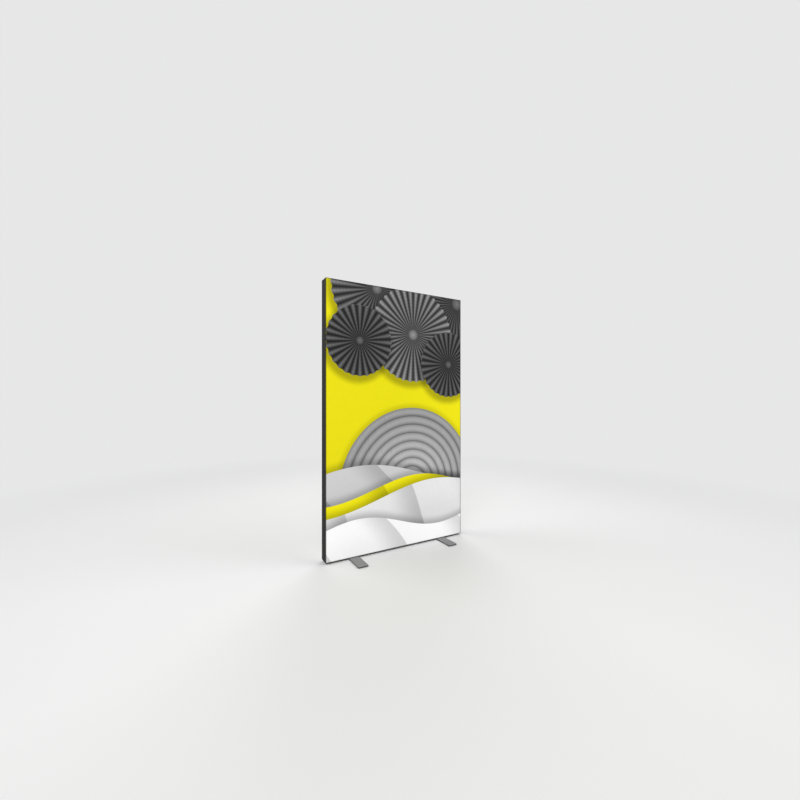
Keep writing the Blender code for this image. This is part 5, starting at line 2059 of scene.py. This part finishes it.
@dataclass
class Leads:
    """Leads inside the frame, with the inlet's boot and the clips that hold them to the inner faces."""

    light_radius: float = 0.0025
    mains_radius: float = 0.0035
    seat_gap: float = 0.0003
    behind: float = 0.020
    bend: float = 0.034
    bend_middle: float = 0.3
    plug_seat: float = 0.01395
    ramp_share: float = 0.55
    falls: tuple[Pair, ...] = (
        (0, 0), (1, 0), (4, 0.125), (6, 0.333), (8, 0.667), (11, 0.933), (15, 1)
    )
    rises: tuple[Pair, ...] = ((10, 0), (5, 0.333), (2, 0.833), (0.5, 1), (0, 1))
    boot: tuple[Pair, ...] = (
        (0.0036, 0), (0.0064, 0), (0.0064, 0.0012), (0.0052, 0.0018), (0.0056, 0.0026), (0.0048, 0.0034),
        (0.0052, 0.0042), (0.0045, 0.0050), (0.0049, 0.0058), (0.0042, 0.0068), (0.0036, 0.0070),
    )
    wall: float = 0.0011
    foot_length: float = 0.005
    clip_width: float = 0.008
    clip_gap: float = 0.00015
    clip_lift: float = 0.00005
    clip_edge: float = 0.00025
    arch_points: int = 13
    ceiling_clips: tuple[float, ...] = (-0.40, -0.20, 0.0, 0.20, 0.40)
    light_clips: tuple[float, ...] = (-0.31, -0.40, -0.48)
    mains_clips: tuple[float, ...] = (0.24, 0.31, 0.43)
    splice_clips: tuple[float, ...] = (-0.06, 0.075)
    sheath: Moulded = Moulded("black lead sheath", (0.016, 0.016, 0.016), 0.0009, 0.5)

    @property
    def floor(self) -> float:
        """Height of the bottom rail's inner face."""
        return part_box("bottom_rail")[1].z

    @property
    def ceiling(self) -> float:
        """Height of the top rail's inner face."""
        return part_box("top_rail")[0].z

    @property
    def inner(self) -> float:
        """Distance from the middle to an upright's inner face."""
        return face_across("right_upright_lower", Side.RIGHT)

    def build(self) -> None:
        """Lay the leads, and make the boot and the clips."""
        self.lay_mains()
        self.lay_light()
        self.make_clips()

    def lay(self, name: str, knots: Sequence[Sequence[float]], radius: float) -> None:
        """Lay a lead's round sheath through its knots, in place of its solid."""
        lead = tube(eased(knots), radius)
        publish(f"{name}_sheath", lead, self.sheath, stands_for=[name])

    def lay_mains(self) -> None:
        """Mains lead from the inlet down to the rail and along it to the supply, with the inlet's boot."""
        low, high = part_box("mains_lead")
        height = middle_of("inlet_housing")[2] - Inlet.socket_drop
        gland = middle_of("power_supply")[2]
        seat = self.floor + self.mains_radius + self.seat_gap
        reach = 2 * self.mains_radius
        knots = [(high.x - out * reach, 0, height - fall * (height - seat)) for out, fall in self.falls]
        knots.append(((low.x + high.x) / 2, 0, seat))
        knots += [(low.x + out * reach, 0, seat + rise * (gland - seat)) for out, rise in self.rises]
        self.lay("mains_lead", knots, self.mains_radius)
        boot = turned(self.boot, looped=True).swapped((2, 0, 1), (-1, 1, 1)).moved(high.x, 0, height)
        publish("inlet_lead_boot", boot, Moulded())

    def plug_entry(self, side: Side, height: float, above: int) -> list[Place]:
        """Knots from beside the slot into the plug of a board.

        Args:
            side: side of the board.
            height: height of the plug's end.
            above: 1 where the lead comes from above, and -1 from below.

        Returns:
            The knots, the plug's last.
        """
        seat = side.value * (self.inner - self.light_radius - self.seat_gap)
        plug = side.value * (self.inner - self.plug_seat)
        ramp = above * 2 * self.behind
        return [
            (seat, self.behind, height + ramp),
            ((seat + plug) / 2, self.behind / 2, height + ramp * self.ramp_share),
            (plug, 0, height + above * 2 * self.light_radius),
            (plug, 0, height),
        ]

    def corner(self, side: Side, up: int) -> list[Place]:
        """Knots round an inner corner of the frame, from the rail to the upright.

        Args:
            side: side of the corner.
            up: -1 for a bottom corner and 1 for a top one.

        Returns:
            The knots.
        """
        end = self.ceiling if up > 0 else self.floor
        seat = self.light_radius + self.seat_gap
        middle = seat + self.bend * self.bend_middle
        half = [(2 * self.bend, seat), (seat + self.bend, seat)]
        offsets = [*half, (middle, middle), *(pair[::-1] for pair in half[::-1])]
        sign = side.value
        return [(sign * (self.inner - aside), self.behind, end - up * off) for aside, off in offsets]

    def lay_light(self) -> None:
        """Light lead from the supply to the first board, and the links from board to board."""
        gap, radius, behind = self.seat_gap, self.light_radius, self.behind
        lower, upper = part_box("lens_board_left_lower"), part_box("lens_board_left_upper")
        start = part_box("light_lead")[1].x
        gland = middle_of("power_supply")[2]
        seat = self.floor + radius + gap
        knots = [
            (start, 0, gland),
            (start - 2 * radius, 0, gland),
            (start - self.bend, behind / 2, (gland + seat) / 2),
            (start - 2 * self.bend, behind, seat),
            (start - 4 * self.bend, behind, seat),
            *self.corner(Side.LEFT, -1),
            *self.plug_entry(Side.LEFT, lower[0].z - gap, -1),
        ]
        self.lay("light_lead", knots, radius)
        middle = middle_of("cross_bar")[2]
        for side in Side:
            knots = [
                *self.plug_entry(side, lower[1].z + gap, 1)[::-1],
                (side.value * (self.inner - radius - gap), behind, middle),
                *self.plug_entry(side, upper[0].z - gap, -1),
            ]
            self.lay(f"light_link_{side}", knots, radius)
        knots = [
            *self.plug_entry(Side.LEFT, upper[1].z + gap, 1)[::-1],
            *self.corner(Side.LEFT, 1)[::-1],
            (0, behind, self.ceiling - radius - gap),
            *self.corner(Side.RIGHT, 1),
            *self.plug_entry(Side.RIGHT, upper[1].z + gap, 1),
        ]
        self.lay("light_link_top", knots, radius)

    def make_clips(self) -> None:
        """Saddle clips on the rails and beside the splices."""
        light = self.clip(self.light_radius, (-1,)).swapped((2, 0, 1))
        mains = self.clip(self.mains_radius, (-1, 1)).swapped((2, 0, 1))
        hung = light.swapped((0, 1, 2), (1, 1, -1))
        clips = [hung.moved(station, self.behind, self.ceiling) for station in self.ceiling_clips]
        clips += [light.moved(station, self.behind, self.floor) for station in self.light_clips]
        clips += [mains.moved(station, 0, self.floor) for station in self.mains_clips]
        middle = middle_of("cross_bar")[2]
        upright = self.clip(self.light_radius, (-1,)).swapped((1, 0, 2))
        for side in Side:
            beside = upright.swapped((0, 1, 2), (-side.value, 1, 1))
            place = side.value * self.inner
            clips += [beside.moved(place, self.behind, middle + step) for step in self.splice_clips]
        publish("lead_clips", together(clips), Moulded())

    def clip(self, radius: float, feet: Sequence[int]) -> Shape:
        """Saddle clip: an arch over the lead, and a foot at one or both sides, carried along the lead.

        Args:
            radius: radius of the lead.
            feet: signs of the sides that have a foot.

        Returns:
            The clip, its lead along Z and its seat at Y zero.
        """
        centre = radius + self.seat_gap
        inner = radius + self.clip_gap
        outer = inner + self.wall
        base, top = self.clip_lift, self.wall
        angle = np.linspace(math.pi, 0, self.arch_points)
        arch = np.stack([np.cos(angle), np.sin(angle)], axis=-1)
        outside = arch * outer + (0, centre)
        inside = arch[::-1] * inner + (0, centre)
        reach = outer + self.foot_length
        left = [(-reach, base), (-reach, top), (-outer, top)] if -1 in feet else [(-outer, base)]
        right = [(outer, top), (reach, top), (reach, base)] if 1 in feet else [(outer, base)]
        outline = [*left, *outside, *right, (inner, base), *inside, (-inner, base)]
        half = self.clip_width / 2
        return bar(np.array(outline), -half, half, Axis.UP, self.clip_edge)


@dataclass(frozen=True)
class Lamp:
    """Soft lamp of the studio: where it hangs, and its power in watts."""

    name: str
    place: Place
    power: float


@dataclass
class Studio:
    """Pale floor, soft lamps and the camera of the photograph."""

    eye: Place = (-1.4545, -2.5605, 1.1545)
    heading: float = -30.0
    lens: float = 16.8
    sensor: float = 36.0
    floor_reach: float = 60.0
    floor_tone: float = 0.76
    floor_roughness: float = 0.8
    floor_shine: float = 0.2
    bounce: float = 0.63
    fade: Pair = (1.6, 5.5)
    backdrop: Colour = (0.8, 0.8, 0.805)
    ambient: float = 0.42
    lamp_size: float = 3.0
    lamps: tuple[Lamp, ...] = (
        Lamp("key lamp", (-2.6, -3.4, 4.4), 120),
        Lamp("fill lamp", (3.4, -2.4, 4.2), 90),
        Lamp("back lamp", (2.2, 3.4, 4.4), 110),
        Lamp("side lamp", (-3.4, 2.2, 4.2), 80),
    )

    def build(self) -> None:
        """Set the world, the floor, the lamps and the camera."""
        scene = bpy.context.scene
        scene.view_settings.view_transform = "Standard"
        self.make_world()
        self.make_floor()
        for lamp in self.lamps:
            self.hang(lamp)
        view = bpy.data.cameras.new("camera")
        view.lens = self.lens
        view.sensor_width = self.sensor
        camera = bpy.data.objects.new("camera", view)
        camera.location = self.eye
        camera.rotation_euler = (math.pi / 2, 0, math.radians(self.heading))
        scene.collection.objects.link(camera)
        scene.camera = camera

    def make_world(self) -> None:
        """Light the scene from all round, and show a pale backdrop to the camera, gloss and glass."""
        world = bpy.data.worlds.new("studio")
        bpy.context.scene.world = world
        graph = Graph(world)
        graph.tree.nodes.clear()
        light = graph.node("Background", sockets={"Color": (1, 1, 1), "Strength": self.ambient})
        backdrop = graph.node("Background", sockets={"Color": self.backdrop})
        chosen = graph.blend(graph.shown(graph.node("LightPath")), light, backdrop)
        graph.node("OutputWorld", sockets={"Surface": chosen.outputs[0]})

    def make_floor(self) -> None:
        """Lay a matt pale floor that fades into the backdrop, clear from below.

        To light that bounces off the object it looks evenly lit, so that undersides aren't black.
        """
        reach = self.floor_reach
        corners = [(-reach, -reach, 0), (reach, -reach, 0), (reach, reach, 0), (-reach, reach, 0)]
        mesh = bpy.data.meshes.new("floor")
        mesh.from_pydata(corners, [], [(0, 1, 2, 3)])
        material = bpy.data.materials.new("floor")
        mesh.materials.append(material)
        graph = Graph(material)
        pale = (self.floor_tone,) * 3
        graph.surface(
            base_color=pale,
            roughness=self.floor_roughness,
            metallic=0.0,
            specular_ior_level=self.floor_shine,
        )
        across, through, _ = graph.coordinates()
        path = graph.node("LightPath")
        matt = graph.tree.nodes["Principled BSDF"]
        glow = graph.node("Emission", sockets={"Color": self.backdrop, "Strength": 1.0})
        far = away(across, through).rise(*self.fade)
        faded = graph.blend(far * graph.shown(path), matt, glow)
        even = graph.node("Emission", sockets={"Color": pale, "Strength": self.bounce})
        lit = graph.blend(path.outputs["Is Diffuse Ray"], faded, even)
        below = graph.node("NewGeometry").outputs["Backfacing"]
        clear = graph.blend(below, lit, graph.node("BsdfTransparent"))
        graph.feed(graph.tree.nodes["Material Output"].inputs["Surface"], clear.outputs[0])
        floor = bpy.data.objects.new("floor", mesh)
        bpy.context.scene.collection.objects.link(floor)

    def hang(self, lamp: Lamp) -> None:
        """Hang a soft square lamp that faces the middle of the wall.

        Args:
            lamp: its name, place and power.
        """
        light = bpy.data.lights.new(lamp.name, "AREA")
        light.shape = "SQUARE"
        light.size = self.lamp_size
        light.energy = lamp.power
        item = bpy.data.objects.new(lamp.name, light)
        item.location = lamp.place
        low, high = CAD_BOX
        aim = (low + high) / 2 - item.location
        item.rotation_euler = aim.to_track_quat("-Z", "Y").to_euler()
        bpy.context.scene.collection.objects.link(item)


def main() -> None:
    """Dress the wall, sub-assembly by sub-assembly."""
    logging.basicConfig(level=logging.INFO, format="%(message)s")
    assemblies = (Studio, FrameProfiles, Prints, Feet, Joinery, Lights, Supply, Inlet, Leads)
    for assembly in assemblies:
        assembly().build()


if __name__ == "__main__":
    main()
